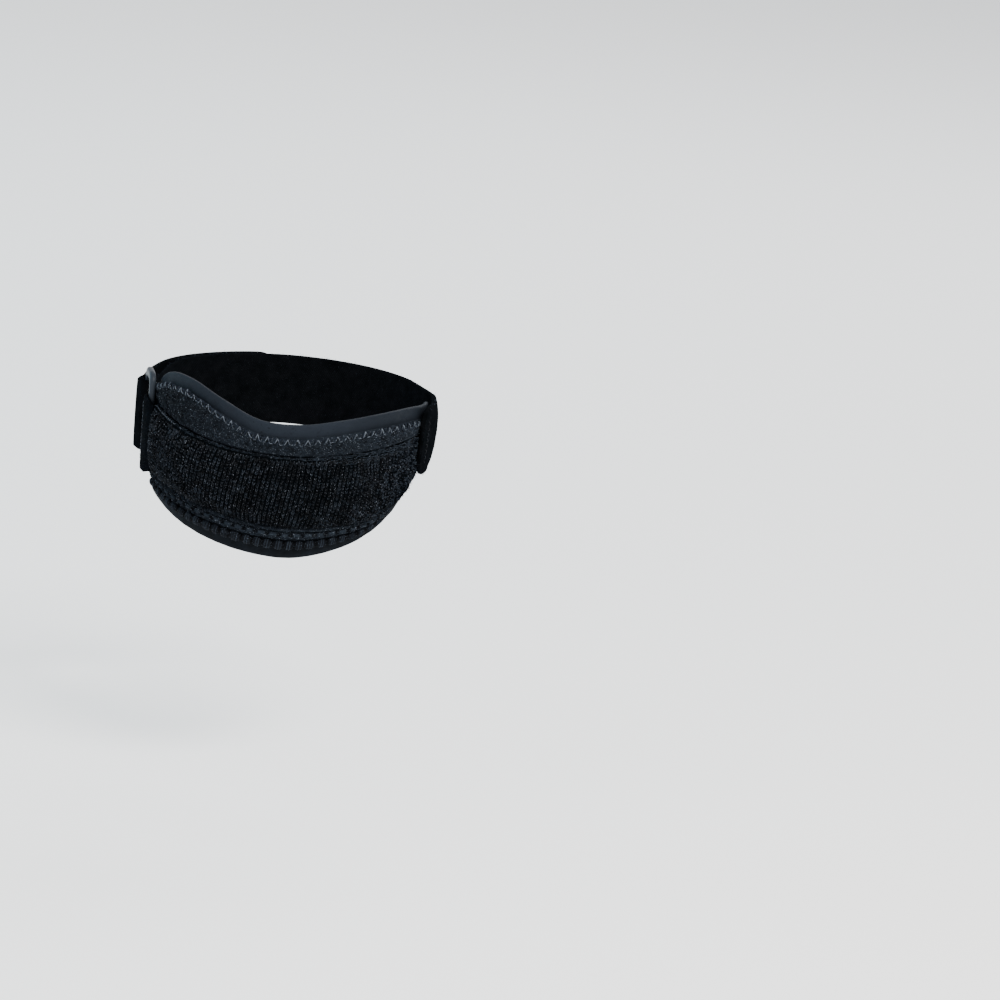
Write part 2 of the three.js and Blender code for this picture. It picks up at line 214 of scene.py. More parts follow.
@dataclass(frozen=True)
class Pad:
    """The pad's outline and layers, in millimetres."""

    leg: Leg = Leg()
    start: float = -85.0
    length: float = 180.0
    height: float = 59.0
    liner_thickness: float = 2.4
    face_inner: float = 2.7
    face_thickness: float = 1.5
    seam_gap: float = 0.6
    upper_border: float = 5.8
    lower_hem: float = 15.1
    lower_border: float = 4.6
    piping_width: float = 4.2
    band_inset: float = 8.0
    cushion_inset: float = 14.5
    end_inset: float = 5.0
    sections: tuple[tuple[float, ...], ...] = (
        (0.0, 0.2, 0.235, -0.35, -0.547),
        (0.1, 0.394, 0.118, -0.417, -0.607),
        (0.2, 0.415, 0.045, -0.47, -0.695),
        (0.3, 0.321, -0.006, -0.52, -0.767),
        (0.4, 0.211, -0.033, -0.566, -0.816),
        (0.5, 0.201, -0.04, -0.585, -0.832),
        (0.6, 0.242, -0.018, -0.567, -0.775),
        (0.7, 0.277, 0.013, -0.526, -0.666),
        (0.8, 0.287, 0.045, -0.42, -0.481),
        (0.9, 0.258, 0.068, -0.195, -0.236),
        (1.0, 0.225, 0.076, -0.045, -0.08),
    )

    @property
    def end(self) -> float:
        """The arc of the pad's right end."""
        return self.start + self.length

    @property
    def face_outer(self) -> float:
        """How far out the seam bands' even faces are."""
        return self.face_inner + self.face_thickness

    def line(self, which: PadLine, arc: Array) -> Array:
        """Returns the height of one of the pad's long lines."""
        share = (np.asarray(arc, float) - self.start) / self.length
        return self.height * smooth_between(np.array(self.sections), which.value, share)

    def hem_scale(self, arc: Array) -> Array:
        """Returns how high the hem is, as a share of its usual height."""
        hem = self.line(PadLine.LOWER_SEAM, arc) - self.line(PadLine.BOTTOM, arc)
        return hem / self.lower_hem

    def hem_line(self, arc: Array) -> Array:
        """Returns the height at which the lower band ends and the piping starts."""
        reach = self.lower_border + self.piping_width
        return self.line(PadLine.BOTTOM, arc) + self.hem_scale(arc) * reach

    def border_line(self, arc: Array) -> Array:
        """Returns the height at which the piping ends and the liner's border starts."""
        return self.line(PadLine.BOTTOM, arc) + self.hem_scale(arc) * self.lower_border

    def band_top(self, arc: Array) -> Array:
        """Returns the height at which the upper band meets the liner's border.

        Args:
            arc: Distances along the leg.

        Returns:
            The heights.
        """
        first = self.start + self.band_inset
        widening = 0.5 / (self.cushion_inset - self.band_inset)
        border = self.upper_border * np.minimum(1, 0.5 + widening * (np.asarray(arc) - first))
        return self.line(PadLine.TOP, arc) - border


def corner_cut(distance: Array, radius: float) -> Array:
    """Returns what a rounded corner takes off an edge at a distance from the end."""
    inside = np.clip(radius - np.maximum(0, distance), 0, radius)
    return radius - np.sqrt(radius**2 - inside**2)


def strip_section(rows: int, corner_steps: int = 4) -> dict[str, Array]:
    """Makes the plan of a flat strip's rounded section.

    Args:
        rows: How many rows of points each flat side has.
        corner_steps: How many steps each rounded corner has.

    Returns:
        For each point of the ring its side out and up, its corner offset, and its row's way inwards.
    """
    points = []
    side = np.linspace(0, 1, rows + 2)[1:-1]
    for quarter, (side_out, side_up) in enumerate([(1, 0), (1, 1), (0, 1), (0, 0)]):
        for step in range(corner_steps + 1):
            turn = math.pi / 2 * (quarter - 1 + step / corner_steps)
            offset = (1 - 2 * side_out + math.cos(turn), 1 - 2 * side_up + math.sin(turn))
            points.append((side_out, side_up, *offset))
        if quarter in (0, 2):
            shares = side if quarter == 0 else 1 - side
            points.extend((side_out, share, 0, 1 - 2 * share) for share in shares)
    out, up, round_out, round_up = np.array(points, float).T
    return {"out": out, "up": up, "round_out": round_out, "round_up": round_up}


def section_rings(
    section: dict[str, Array], inner: Any, outer: Any, bottom: Any, top: Any, radius: Any
) -> tuple[Array, Array]:
    """Sets a strip's section to its sizes at each stop.

    Args:
        section: What strip_section made.
        inner: How far out the inner side is, in millimetres, one value or one for each stop.
        outer: How far out the outer side is.
        bottom: The lower edge's height.
        top: The upper edge's height.
        radius: The rounding of its corners.

    Returns:
        The distance out and the height of each point, one row for each stop.
    """
    inner, outer, bottom, top, radius = (
        np.atleast_1d(np.asarray(v, float))[:, None] for v in (inner, outer, bottom, top, radius)
    )
    out = inner + (outer - inner) * section["out"] + radius * section["round_out"]
    height = bottom + (top - bottom) * section["up"] + radius * section["round_up"]
    return out, height


def stops(first: float, last: float, spacing: float) -> Array:
    """Returns even stops no further apart than the spacing."""
    return np.linspace(first, last, max(2, math.ceil((last - first) / spacing) + 1))


def rounded_stops(first: float, last: float, radius: tuple[float, float], spacing: float) -> Array:
    """Returns stops that are closer together at each rounded end.

    Args:
        first: The first stop.
        last: The last stop.
        radius: The rounding of each end, 0 for none.
        spacing: The most between two stops.

    Returns:
        The stops.
    """
    ends = 1 - np.cos(np.linspace(0, np.pi / 2, 9)[:-1])
    return np.concatenate([
        first + radius[0] * ends if radius[0] else [],
        stops(first + radius[0], last - radius[1], spacing),
        (last - radius[1] * ends)[::-1] if radius[1] else [],
    ])


# --- meshes


def new_object(name: str, data: bpy.types.ID) -> Object:
    """Returns a new object, linked to the scene, at the origin.

    Args:
        name: The object's name.
        data: Its mesh, light or camera.

    Returns:
        The object.
    """
    made = bpy.data.objects.new(name, data)
    bpy.context.scene.collection.objects.link(made)
    return made


def store(mesh: bpy.types.Mesh, **fields: Array) -> None:
    """Stores each field on the mesh's points, as a vector or a number.

    Args:
        mesh: The mesh.
        fields: A value for each point, by the field's name.
    """
    for name, values in fields.items():
        vector = values.size == 3 * len(mesh.vertices)
        kind = "FLOAT_VECTOR" if vector else "FLOAT"
        attribute = mesh.attributes.new(name, kind, "POINT")
        attribute.data.foreach_set("vector" if vector else "value", values.astype(np.float32).ravel())


def cap_faces(size: int) -> list[list[int]]:
    """Returns an end cap as a ladder of quads from the section's foot to its top."""
    return [[low, low + 1, size - 2 - low, size - 1 - low] for low in range(size // 2 - 1)]


def closed_mesh(name: str, rings: Array, cloth: Array, joined: bool = False) -> Object:
    """Makes a closed, smooth mesh through rings of an even number of points.

    Args:
        name: The piece's name.
        rings: Points in metres, a row for each ring, anticlockwise seen against the way along.
        cloth: Where each point is on the flat cloth, in metres: along, up and out.
        joined: Whether the last ring meets the first.

    Returns:
        The new object.
    """
    count, size = rings.shape[:2]
    index = np.arange(count * size).reshape(count, size)
    here, ahead = (index, np.roll(index, -1, 0)) if joined else (index[:-1], index[1:])
    quads = np.stack([here, ahead, np.roll(ahead, -1, 1), np.roll(here, -1, 1)], -1)
    faces = quads.reshape(-1, 4).tolist()
    if not joined:
        caps = cap_faces(size)
        faces += caps + [[index[-1, i] for i in reversed(cap)] for cap in caps]
    mesh = bpy.data.meshes.new(name)
    mesh.from_pydata(rings.reshape(-1, 3).tolist(), [], faces)
    mesh.shade_smooth()
    store(mesh, cloth=cloth.reshape(-1, 3))
    return new_object(name, mesh)


def cloth_of(arc: Array, height: Array, out: Array) -> Array:
    """Returns where points are on the flat cloth, in metres, from millimetres along, up and out."""
    return np.stack(np.broadcast_arrays(arc, height, out), -1) * MM


@dataclass
class Spots:
    """Places on a face, with the ways out of it and up it, and where they are on the flat cloth."""

    point: Array
    facing: Array
    upward: Array
    cloth: Array

    def jostle(self, out: float | Array, aside: float | Array, seed: int) -> "Spots":
        """Shifts every place a little by fixed chance, in millimetres, and returns the places.

        Args:
            out: How far out of the face.
            aside: How far along and up it.
            seed: Fixed seed.

        Returns:
            The same places, shifted.
        """
        chance = np.random.default_rng(seed).normal(0, MM, (3, len(self.point), 1))
        out, aside = np.reshape(out, (-1, 1)), np.reshape(aside, (-1, 1))
        along = np.cross(self.upward, self.facing)
        self.point = self.point + out * chance[0] * self.facing
        self.point = self.point + aside * (chance[1] * along + chance[2] * self.upward)
        return self

    def leaned(self, slope: float) -> "Spots":
        """Leans the way up along the face by a slope, and returns the places.

        Args:
            slope: The slope.

        Returns:
            The same places.
        """
        upward = self.upward + slope * np.cross(self.upward, self.facing)
        self.upward = upward / np.linalg.norm(upward, axis=-1, keepdims=True)
        return self

    def carrier(self, name: str, joined: bool, **fields: Array) -> Object:
        """Makes the object that a geometry tree grows from.

        Args:
            name: The carrier's name.
            joined: Whether each point is joined to the next, as a line that a thread follows.
            fields: Further values for each point.

        Returns:
            The carrier.
        """
        count = len(self.point)
        edges = np.stack([np.arange(count - 1), np.arange(1, count)], -1).tolist() if joined else []
        mesh = bpy.data.meshes.new(name)
        mesh.from_pydata(self.point.tolist(), edges, [])
        store(mesh, facing=self.facing, upward=self.upward, cloth=self.cloth, **fields)
        return new_object(name, mesh)


@dataclass(frozen=True)
class Face:
    """The outer side of a layer, read by the distance along it and the share of its height."""

    place: Placing
    height: Placing
    step: float = 0.2
    share_step: float = 0.004

    def spots(self, arc: Array, share: Array, lift: float = 0.0) -> Spots:
        """Finds places on the face.

        Args:
            arc: Distances along it, in millimetres.
            share: Shares of its height.
            lift: How far the places stand off it, in millimetres.

        Returns:
            The places.
        """
        arc, share = np.broadcast_arrays(np.asarray(arc, float), np.asarray(share, float))
        point = self.place(arc, share)
        low, high = np.clip(share - self.share_step, 0, 1), np.clip(share + self.share_step, 0, 1)
        along = self.place(arc + self.step, share) - self.place(arc - self.step, share)
        upward = self.place(arc, high) - self.place(arc, low)
        facing = np.cross(along, upward)
        facing /= np.linalg.norm(facing, axis=-1, keepdims=True)
        upward /= np.linalg.norm(upward, axis=-1, keepdims=True)
        cloth = cloth_of(arc, self.height(arc, share), np.zeros(arc.shape))
        return Spots(point + facing * lift * MM, facing, upward, cloth)

    def rows(self, arcs: Array, pitch: float, margin: tuple[float, float]) -> tuple[Array, ...]:
        """Spaces rows evenly over the face's real, curved height.

        Args:
            arcs: The distances along it at which a column of places stands.
            pitch: The distance between two rows, in millimetres.
            margin: What stays free at the foot and the top.

        Returns:
            The arc and the share of every place, and how far it is below the face's top.
        """
        shares = np.linspace(0, 1, 160)
        points = self.place(arcs[:, None], shares[None, :])
        steps = np.linalg.norm(np.diff(points, axis=1), axis=2) / MM
        reach = np.concatenate([np.zeros((len(arcs), 1)), np.cumsum(steps, 1)], 1)
        found = []
        for arc, climbed in zip(arcs, reach):
            room = climbed[-1] - sum(margin)
            if room > pitch:
                at = margin[0] + (np.arange(int(room / pitch)) + 0.5) * room / int(room / pitch)
                found.append(np.stack([np.full(at.shape, arc), np.interp(at, climbed, shares), climbed[-1] - at]))
        arc, share, below = np.concatenate(found, 1)
        return arc, share, below


# --- node trees


def add(tree: Tree, kind: str, inputs: dict | None = None, **settings: Any) -> bpy.types.Node:
    """Adds a node to a shader or geometry tree.

    Args:
        tree: The tree.
        kind: The node's type.
        inputs: Value or linked socket for each input, by its name or number.
        settings: The node's own settings.

    Returns:
        The node.
    """
    node = tree.nodes.new(kind)
    for key, value in settings.items():
        setattr(node, key, value)
    for key, value in (inputs or {}).items():
        if isinstance(value, Socket):
            tree.links.new(value, node.inputs[key])
        else:
            node.inputs[key].default_value = value
    return node


SOCKETS = {float: "NodeSocketFloat", int: "NodeSocketInt", bpy.types.Material: "NodeSocketMaterial"}
MATH, VECTOR_MATH, COMBINE = "ShaderNodeMath", "ShaderNodeVectorMath", "ShaderNodeCombineXYZ"
STORED, CHANCE = "GeometryNodeInputNamedAttribute", "FunctionNodeRandomValue"
TRANSFORM, TURN_MORE = "GeometryNodeTransform", "FunctionNodeRotateRotation"


class Growth:
    """A geometry tree with named inputs, which makes what repeats on a carrier."""

    def __init__(self, name: str, inputs: dict[str, type]) -> None:
        """Starts the tree.

        Args:
            name: The tree's name.
            inputs: The type of each input beside the geometry and its material, by its name.
        """
        self.tree = bpy.data.node_groups.new(name, "GeometryNodeTree")
        self.tree.interface.new_socket("Geometry", in_out="INPUT", socket_type="NodeSocketGeometry")
        for key, kind in {**inputs, "Material": bpy.types.Material}.items():
            self.tree.interface.new_socket(key, in_out="INPUT", socket_type=SOCKETS[kind])
        self.tree.interface.new_socket("Geometry", in_out="OUTPUT", socket_type="NodeSocketGeometry")
        self.input = add(self.tree, "NodeGroupInput").outputs

    def out(self, kind: str, inputs: dict | None = None, output: int | str = 0, **settings: Any) -> Socket:
        """Adds a node to the tree and returns one of its outputs, by its name or number."""
        return add(self.tree, kind, inputs, **settings).outputs[output]

    def times(self, first: Any, second: Any) -> Socket:
        """Returns the product of two numbers."""
        return self.out(MATH, {0: first, 1: second}, operation="MULTIPLY")

    def close(self, geometry: Socket) -> Tree:
        """Ends the tree with real, smooth geometry of the input's material.

        Args:
            geometry: What the tree has made.

        Returns:
            The whole tree.
        """
        real = self.out("GeometryNodeRealizeInstances", {"Geometry": geometry})
        smooth = self.out("GeometryNodeSetShadeSmooth", {"Geometry": real})
        dressed = self.out("GeometryNodeSetMaterial", {"Geometry": smooth, "Material": self.input["Material"]})
        add(self.tree, "NodeGroupOutput", {"Geometry": dressed})
        return self.tree


def stitch_tree() -> Tree:
    """Makes the tree of knitted stitches: on each point two slanted legs of yarn that meet in a V.

    Returns:
        The tree.
    """
    growth = Growth("knitted_stitches", {
        "Leg Width": float, "Leg Length": float, "Rise": float, "Apart": float, "Slant": float,
        "Unevenness": float, "Seed": int,
    })
    given, seed = growth.input, growth.input["Seed"]
    stitch = add(growth.tree, "GeometryNodeJoinGeometry")
    for side in (-1.0, 1.0):
        oval = growth.out("GeometryNodeMeshUVSphere", {"Segments": 6, "Rings": 4, "Radius": 0.5}, "Mesh")
        size = growth.out(COMBINE, {"X": given["Leg Width"], "Y": given["Leg Length"], "Z": given["Rise"]})
        shaped = growth.out(TRANSFORM, {"Geometry": oval, "Scale": size})
        slant = growth.times(given["Slant"], -side)
        apart = growth.times(given["Apart"], side / 2)
        turn, aside = growth.out(COMBINE, {"Z": slant}), growth.out(COMBINE, {"X": apart})
        leg = growth.out(TRANSFORM, {"Geometry": shaped, "Rotation": turn, "Translation": aside})
        growth.tree.links.new(leg, stitch.inputs[0])
    facing, upward = (
        growth.out(STORED, {"Name": name}, "Attribute", data_type="FLOAT_VECTOR") for name in ("facing", "upward")
    )
    turned = growth.out(
        "FunctionNodeAxesToRotation", {"Primary Axis": facing, "Secondary Axis": upward},
        primary_axis="Z", secondary_axis="Y",
    )
    spread = given["Unevenness"]
    nod, sway = (growth.times(spread, share) for share in (0.7, 0.5))
    most = growth.out(COMBINE, {"X": nod, "Y": sway, "Z": spread})
    least = growth.out(VECTOR_MATH, {0: most, "Scale": -1.0}, operation="SCALE")
    tilt = growth.out(CHANCE, {0: least, 1: most, "Seed": seed}, data_type="FLOAT_VECTOR")
    uneven = growth.out(TURN_MORE, {"Rotation": turned, "Rotate By": tilt}, rotation_space="LOCAL")
    small, big = (growth.out(MATH, {0: 1.0, 1: spread}, operation=sign) for sign in ("SUBTRACT", "ADD"))
    scale = growth.out(MATH, {
        0: growth.out(CHANCE, {2: small, 3: big, "Seed": seed}, 1, data_type="FLOAT"),
        1: growth.out(STORED, {"Name": "size"}, "Attribute", data_type="FLOAT"),
    }, operation="MULTIPLY")
    placed = growth.out("GeometryNodeInstanceOnPoints", {
        "Points": given["Geometry"], "Instance": stitch.outputs[0], "Rotation": uneven, "Scale": scale,
    })
    other_seed = growth.out(MATH, {0: seed, 1: 1.0}, operation="ADD")
    glow = growth.out(STORED, {"Name": "glow"}, "Attribute", data_type="FLOAT")
    tint = growth.out(CHANCE, {2: 0.0, 3: glow, "Seed": other_seed}, 1, data_type="FLOAT")
    return growth.close(growth.out(
        "GeometryNodeStoreNamedAttribute", {"Geometry": placed, "Name": "tint", "Value": tint},
        data_type="FLOAT", domain="INSTANCE",
    ))


def thread_tree(path: ThreadPath) -> Tree:
    """Makes the tree of a sewn thread, which follows its seam line.

    Args:
        path: Whether it goes to and fro in claws, is whipped over and over, or runs in and out.

    Returns:
        The tree.
    """
    growth = Growth(f"{path.value}_thread", dict.fromkeys(("Pitch", "Reach", "Rise", "Thickness"), float))
    given = growth.input
    line = growth.out("GeometryNodeMeshToCurve", {"Mesh": given["Geometry"]})
    walked = growth.out("GeometryNodeSplineParameter", output="Length")
    turns = growth.out(MATH, {0: walked, 1: given["Pitch"]}, operation="DIVIDE")
    if path is ThreadPath.ZIGZAG:
        # A claw: two straight legs up to a point, with their feet held level and sunk into the cloth.
        sway = turns
        for operation, amount in (("PINGPONG", 0.5), ("MULTIPLY", 7.2), ("SUBTRACT", 2.6), ("MAXIMUM", -1.0)):
            sway = growth.out(MATH, {0: sway, 1: amount}, operation=operation)
        lift = growth.times(sway, sway)
    else:
        angle = growth.times(turns, 2 * math.pi)
        sway, lift = (growth.out(MATH, {0: angle}, operation=wave) for wave in ("SINE", "COSINE"))
    width = growth.out(STORED, {"Name": "size"}, "Attribute", data_type="FLOAT")
    shifts = []
    for way, swing, reach in (("upward", sway, "Reach"), ("facing", lift, "Rise")):
        amount = growth.times(swing, growth.times(given[reach], width))
        along = growth.out(STORED, {"Name": way}, "Attribute", data_type="FLOAT_VECTOR")
        shifts.append(growth.out(VECTOR_MATH, {0: along, "Scale": amount}, operation="SCALE"))
    offset = growth.out(VECTOR_MATH, dict(enumerate(shifts)), operation="ADD")
    moved = growth.out("GeometryNodeSetPosition", {"Geometry": line, "Offset": offset})
    radius = growth.out(MATH, {0: given["Thickness"], 1: 2.0}, operation="DIVIDE")
    round_thread = growth.out("GeometryNodeCurvePrimitiveCircle", {"Resolution": 6, "Radius": radius})
    return growth.close(growth.out(
        "GeometryNodeCurveToMesh", {"Curve": moved, "Profile Curve": round_thread, "Fill Caps": True},
    ))


def fuzz_tree() -> Tree:
    """Makes the tree of short loose fibres that stand on a brushed or knitted face.

    Returns:
        The tree.
    """
    growth = Growth("loose_fibres", {
        "Density": float, "Length": float, "Thickness": float, "Lean": float, "Seed": int,
    })
    given, seed = growth.input, growth.input["Seed"]
    amount = growth.out(STORED, {"Name": "fuzz"}, "Attribute", data_type="FLOAT")
    density = growth.times(given["Density"], amount)
    scattered = add(growth.tree, "GeometryNodeDistributePointsOnFaces", {
        "Mesh": given["Geometry"], "Seed": seed, "Density": density,
    }).outputs
    middle, tip = (
        growth.out(COMBINE, {"X": growth.times(given["Length"], aside), "Z": growth.times(given["Length"], up)})
        for aside, up in ((0.15, 0.55), (0.5, 0.8))
    )
    bend = growth.out("GeometryNodeCurveQuadraticBezier", {
        "Resolution": 3, "Start": (0.0, 0.0, 0.0), "Middle": middle, "End": tip,
    })
    radius = growth.out(MATH, {0: given["Thickness"], 1: 2.0}, operation="DIVIDE")
    hair = growth.out("GeometryNodeCurvePrimitiveCircle", {"Resolution": 3, "Radius": radius})
    fibre = growth.out("GeometryNodeCurveToMesh", {"Curve": bend, "Profile Curve": hair})
    lean = given["Lean"]
    back = growth.times(lean, -1.0)
    least = growth.out(COMBINE, {"X": back, "Y": back, "Z": -math.pi})
    most = growth.out(COMBINE, {"X": lean, "Y": lean, "Z": math.pi})
    tilt = growth.out(CHANCE, {0: least, 1: most, "Seed": seed}, data_type="FLOAT_VECTOR")
    turned = growth.out(TURN_MORE, {"Rotation": scattered["Rotation"], "Rotate By": tilt}, rotation_space="LOCAL")
    return growth.close(growth.out("GeometryNodeInstanceOnPoints", {
        "Points": scattered["Points"], "Instance": fibre, "Rotation": turned,
        "Scale": growth.out(CHANCE, {2: 0.4, 3: 1.2, "Seed": seed}, 1, data_type="FLOAT"),
    }))


def grow(name: str, carrier: Object, tree: Tree, finish: "Finish", slot: Slot, values: dict[str, Any]) -> Object:
    """Runs a geometry tree on its carrier, keeps the result as a plain mesh and dresses it.

    Args:
        name: The new piece's name.
        carrier: The object that the tree grows from, which is removed.
        tree: The tree.
        finish: What the piece is made of.
        slot: The record's slot for it.
        values: The value of each of the tree's own inputs, by name.

    Returns:
        The finished piece.
    """
    values = {**values, "Material": finish.material()}
    modifier = carrier.modifiers.new("grow", "NODES")
    modifier.node_group = tree
    for item in tree.interface.items_tree:
        if item.item_type == "SOCKET" and item.in_out == "INPUT" and item.name in values:
            modifier[item.identifier] = values[item.name]
    evaluated = carrier.evaluated_get(bpy.context.evaluated_depsgraph_get())
    mesh = bpy.data.meshes.new_from_object(evaluated)
    bpy.data.objects.remove(carrier)
    mesh.name = name
    return settle(new_object(name, mesh), finish, slot)


@dataclass(frozen=True)
class Stitch:
    """A knitted stitch: the sizes of its two legs in millimetres, their slant and how uneven it is."""

    width: float
    length: float
    rise: float
    apart: float
    slant: float
    unevenness: float

    def grow(
        self, name: str, spots: Spots, tree: Tree, finish: "Finish", slot: Slot, seed: int, **fields: Array
    ) -> Object:
        """Knits a piece, with a stitch on each place.

        Args:
            name: The piece's name.
            spots: The places.
            tree: The tree of knitted stitches.
            finish: What the piece is made of.
            slot: The record's slot.
            seed: Fixed seed.
            fields: The size and glow of each stitch.

        Returns:
            The finished piece.
        """
        return grow(name, spots.carrier(name + "_points", False, **fields), tree, finish, slot, {
            "Leg Width": self.width * MM, "Leg Length": self.length * MM, "Rise": self.rise * MM,
            "Apart": self.apart * MM, "Slant": self.slant, "Unevenness": self.unevenness, "Seed": seed,
        })


@dataclass(frozen=True)
class Thread:
    """A sewn thread: its way, what it is made of, and its sizes in millimetres."""

    path: ThreadPath
    finish: "Finish"
    pitch: float
    reach: float
    rise: float
    thickness: float

    def sew(self, name: str, spots: Spots, slot: Slot, **fields: Array) -> Object:
        """Sews the thread along a line of places.

        Args:
            name: The piece's name.
            spots: The places that its seam line goes through.
            slot: The record's slot.
            fields: How wide it swings at each place, as a share, and its tint where it has one.

        Returns:
            The finished piece.
        """
        fields.setdefault("size", np.ones(len(spots.point)))
        carrier = spots.carrier(name + "_line", True, **fields)
        return grow(name, carrier, thread_tree(self.path), self.finish, slot, {
            "Pitch": self.pitch * MM, "Reach": self.reach * MM, "Rise": self.rise * MM,
            "Thickness": self.thickness * MM,
        })


def settle(piece: Object, finish: "Finish", slot: Slot, *nodes: str) -> Object:
    """Dresses a finished piece and ties it to the frame.

    Args:
        piece: The piece.
        finish: What it is finished in.
        slot: Not used.
        nodes: The CAD nodes that it stands for.

    Returns:
        The piece.
    """
    piece.data.materials.clear()
    piece.data.materials.append(finish.material())
    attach(piece, "root")
    if nodes:
        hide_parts(*nodes)
    LOG.info("%s: %d faces, %s", piece.name, len(piece.data.polygons), finish.name)
    return piece


# --- finishes


def linear(hex_colour: str) -> tuple[float, float, float, float]:
    """Turns an sRGB hex colour into linear light.

    Args:
        hex_colour: The colour, such as #1b2027.

    Returns:
        Red, green, blue and alpha.
    """
    parts = [int(hex_colour[i : i + 2], 16) / 255 for i in (1, 3, 5)]
    red, green, blue = (p / 12.92 if p <= 0.04045 else ((p + 0.055) / 1.055) ** 2.4 for p in parts)
    return red, green, blue, 1.0


@dataclass(frozen=True)
class Finish:
    """A material made from what the real one is. Sizes are in millimetres."""

    name: str
    dark: str
    light: str
    roughness: float = 0.8
    specular: float = 0.06
    refraction: float = 1.5
    sheen: float = 0.0
    sheen_tint: str = "#8a909a"
    mottle_size: float = 9.0
    fleck: str = "#000000"
    fleck_size: float = 0.5
    fleck_share: float = 0.0
    bright: str = "#000000"
    bright_share: float = 0.0
    grain_size: float = 0.4
    grain_height: float = 0.05
    weave: tuple[float, float] = (0.0, 0.0)
    weave_height: float = 0.0

    def material(self) -> bpy.types.Material:
        """Returns the finish's material, made once."""
        return bpy.data.materials.get(self.name) or self.build()

    def build(self) -> bpy.types.Material:
        """Makes the material.

        Returns:
            The new material.
        """
        made = bpy.data.materials.new(self.name)
        made.use_nodes = True
        tree = made.node_tree
        tree.nodes.clear()
        cloth = add(tree, "ShaderNodeAttribute", attribute_name="cloth").outputs["Vector"]
        place = add(tree, "ShaderNodeTexCoord").outputs["Object"]
        colour = self.colour(tree, place)
        height = self.height(tree, cloth, place)
        bump = add(tree, "ShaderNodeBump", {"Strength": 1.0, "Distance": MM, "Height": height})
        surface = add(tree, "ShaderNodeBsdfPrincipled", {
            "Base Color": colour, "Roughness": self.roughness, "Normal": bump.outputs[0],
            "Sheen Weight": self.sheen, "Sheen Roughness": 0.45, "Sheen Tint": linear(self.sheen_tint),
            "Specular IOR Level": self.specular, "IOR": self.refraction,
        })
        add(tree, "ShaderNodeOutputMaterial", {"Surface": surface.outputs[0]})
        return made

    def colour(self, tree: Tree, place: Socket) -> Socket:
        """Adds the mottled colour with its bright flecks.

        Args:
            tree: The material's tree.
            place: Where on the piece, in metres.

        Returns:
            The colour.
        """
        mottle = add(tree, "ShaderNodeTexNoise", {
            "Vector": place, "Scale": 1 / (self.mottle_size * MM), "Detail": 3.0, "Roughness": 0.6,
        })
        spread = add(tree, "ShaderNodeMapRange", {"Value": mottle.outputs["Fac"], "From Min": 0.3, "From Max": 0.7})
        mixed = add(tree, "ShaderNodeMix", {
            "Factor": spread.outputs[0], 6: linear(self.dark), 7: linear(self.light),
        }, data_type="RGBA")
        specks = add(tree, "ShaderNodeTexNoise", {
            "Vector": place, "Scale": 1 / (self.fleck_size * MM), "Detail": 1.0,
        })
        # The tint field sets how much of the bright colour is mixed in: on stitches it is random tone scaled by a
        # painted glow along the pad, and on the liner, the seam bands, the piping and the ring it is painted light
        # and shade.
        chance = add(tree, "ShaderNodeAttribute", attribute_name="tint")
        found = (
            (self.bright_share, chance.outputs["Fac"], 1 - self.bright_share, self.bright_share, self.bright),
            (self.fleck_share, specks.outputs["Fac"], 0.75 - self.fleck_share, 0.08, self.fleck),
        )
        result = mixed.outputs[2]
        for share, value, low, span, shade in found:
            if share:
                factor = add(tree, "ShaderNodeMapRange", {"Value": value, "From Min": low, "From Max": low + span})
                blend = {"Factor": factor.outputs[0], 6: result, 7: linear(shade)}
                result = add(tree, "ShaderNodeMix", blend, data_type="RGBA").outputs[2]
        return result

    def height(self, tree: Tree, cloth: Socket, place: Socket) -> Socket:
        """Adds the relief of fibres or grain, and of a weave where there is one.

        Args:
            tree: The material's tree.
            cloth: Where on the flat cloth, in metres.
            place: Where on the piece, in metres.

        Returns:
            The height in millimetres.
        """
        grain = add(tree, "ShaderNodeTexNoise", {
            "Vector": place, "Scale": 1 / (self.grain_size * MM), "Detail": 4.0, "Roughness": 0.65,
        })
        rise = add(tree, "ShaderNodeMath", {0: grain.outputs["Fac"], 1: self.grain_height}, operation="MULTIPLY")
        if not self.weave_height:
            return rise.outputs[0]
        parts = add(tree, "ShaderNodeSeparateXYZ", {"Vector": cloth})
        waves = []
        for axis, pitch in enumerate(self.weave):
            turn = add(tree, "ShaderNodeMath", {
                0: parts.outputs[axis], 1: 2 * math.pi / (pitch * MM),
            }, operation="MULTIPLY")
            waves.append(add(tree, "ShaderNodeMath", {0: turn.outputs[0]}, operation="SINE").outputs[0])
        over = add(tree, "ShaderNodeMath", {0: waves[0], 1: waves[1]}, operation="MULTIPLY")
        woven = add(tree, "ShaderNodeMath", {
            0: over.outputs[0], 1: self.weave_height, 2: rise.outputs[0],
        }, operation="MULTIPLY_ADD")
        return woven.outputs[0]


# Flecks stand for single fibre ends and weaves for single yarns. The real ones are finer than a pixel,
# so they are drawn coarser: flecks at 0.36 to 0.8 mm, weaves at 0.7 to 1.5 mm.

# Jersey bonded to foam: a fine even face with a soft satin light, a little blue, and pressed pits; its bright
# colour, mixed in by the tint, paints light and shade on the border.
BONDED_JERSEY = Finish(
    "bonded_jersey_satin", "#05070a", "#0b0f14", roughness=0.62, specular=0.05, sheen=0.01, mottle_size=4.0,
    fleck="#090c10", fleck_size=0.7, fleck_share=0.07, bright="#1b2027", bright_share=1.0,
    grain_size=0.35, grain_height=0.07, weave=(0.9, 0.7), weave_height=0.03,
)
# Bulked polyester, rib knitted: matt and almost black, with single stitches that catch the light.
RIB_KNIT = Finish(
    "rib_knit_bulked_polyester", "#030405", "#080a0d", specular=0.05, sheen=0.01, mottle_size=14.0,
    fleck="#686d75", fleck_size=0.36, fleck_share=0.1, bright="#191e24", bright_share=0.8,
    grain_size=0.16, grain_height=0.1,
)
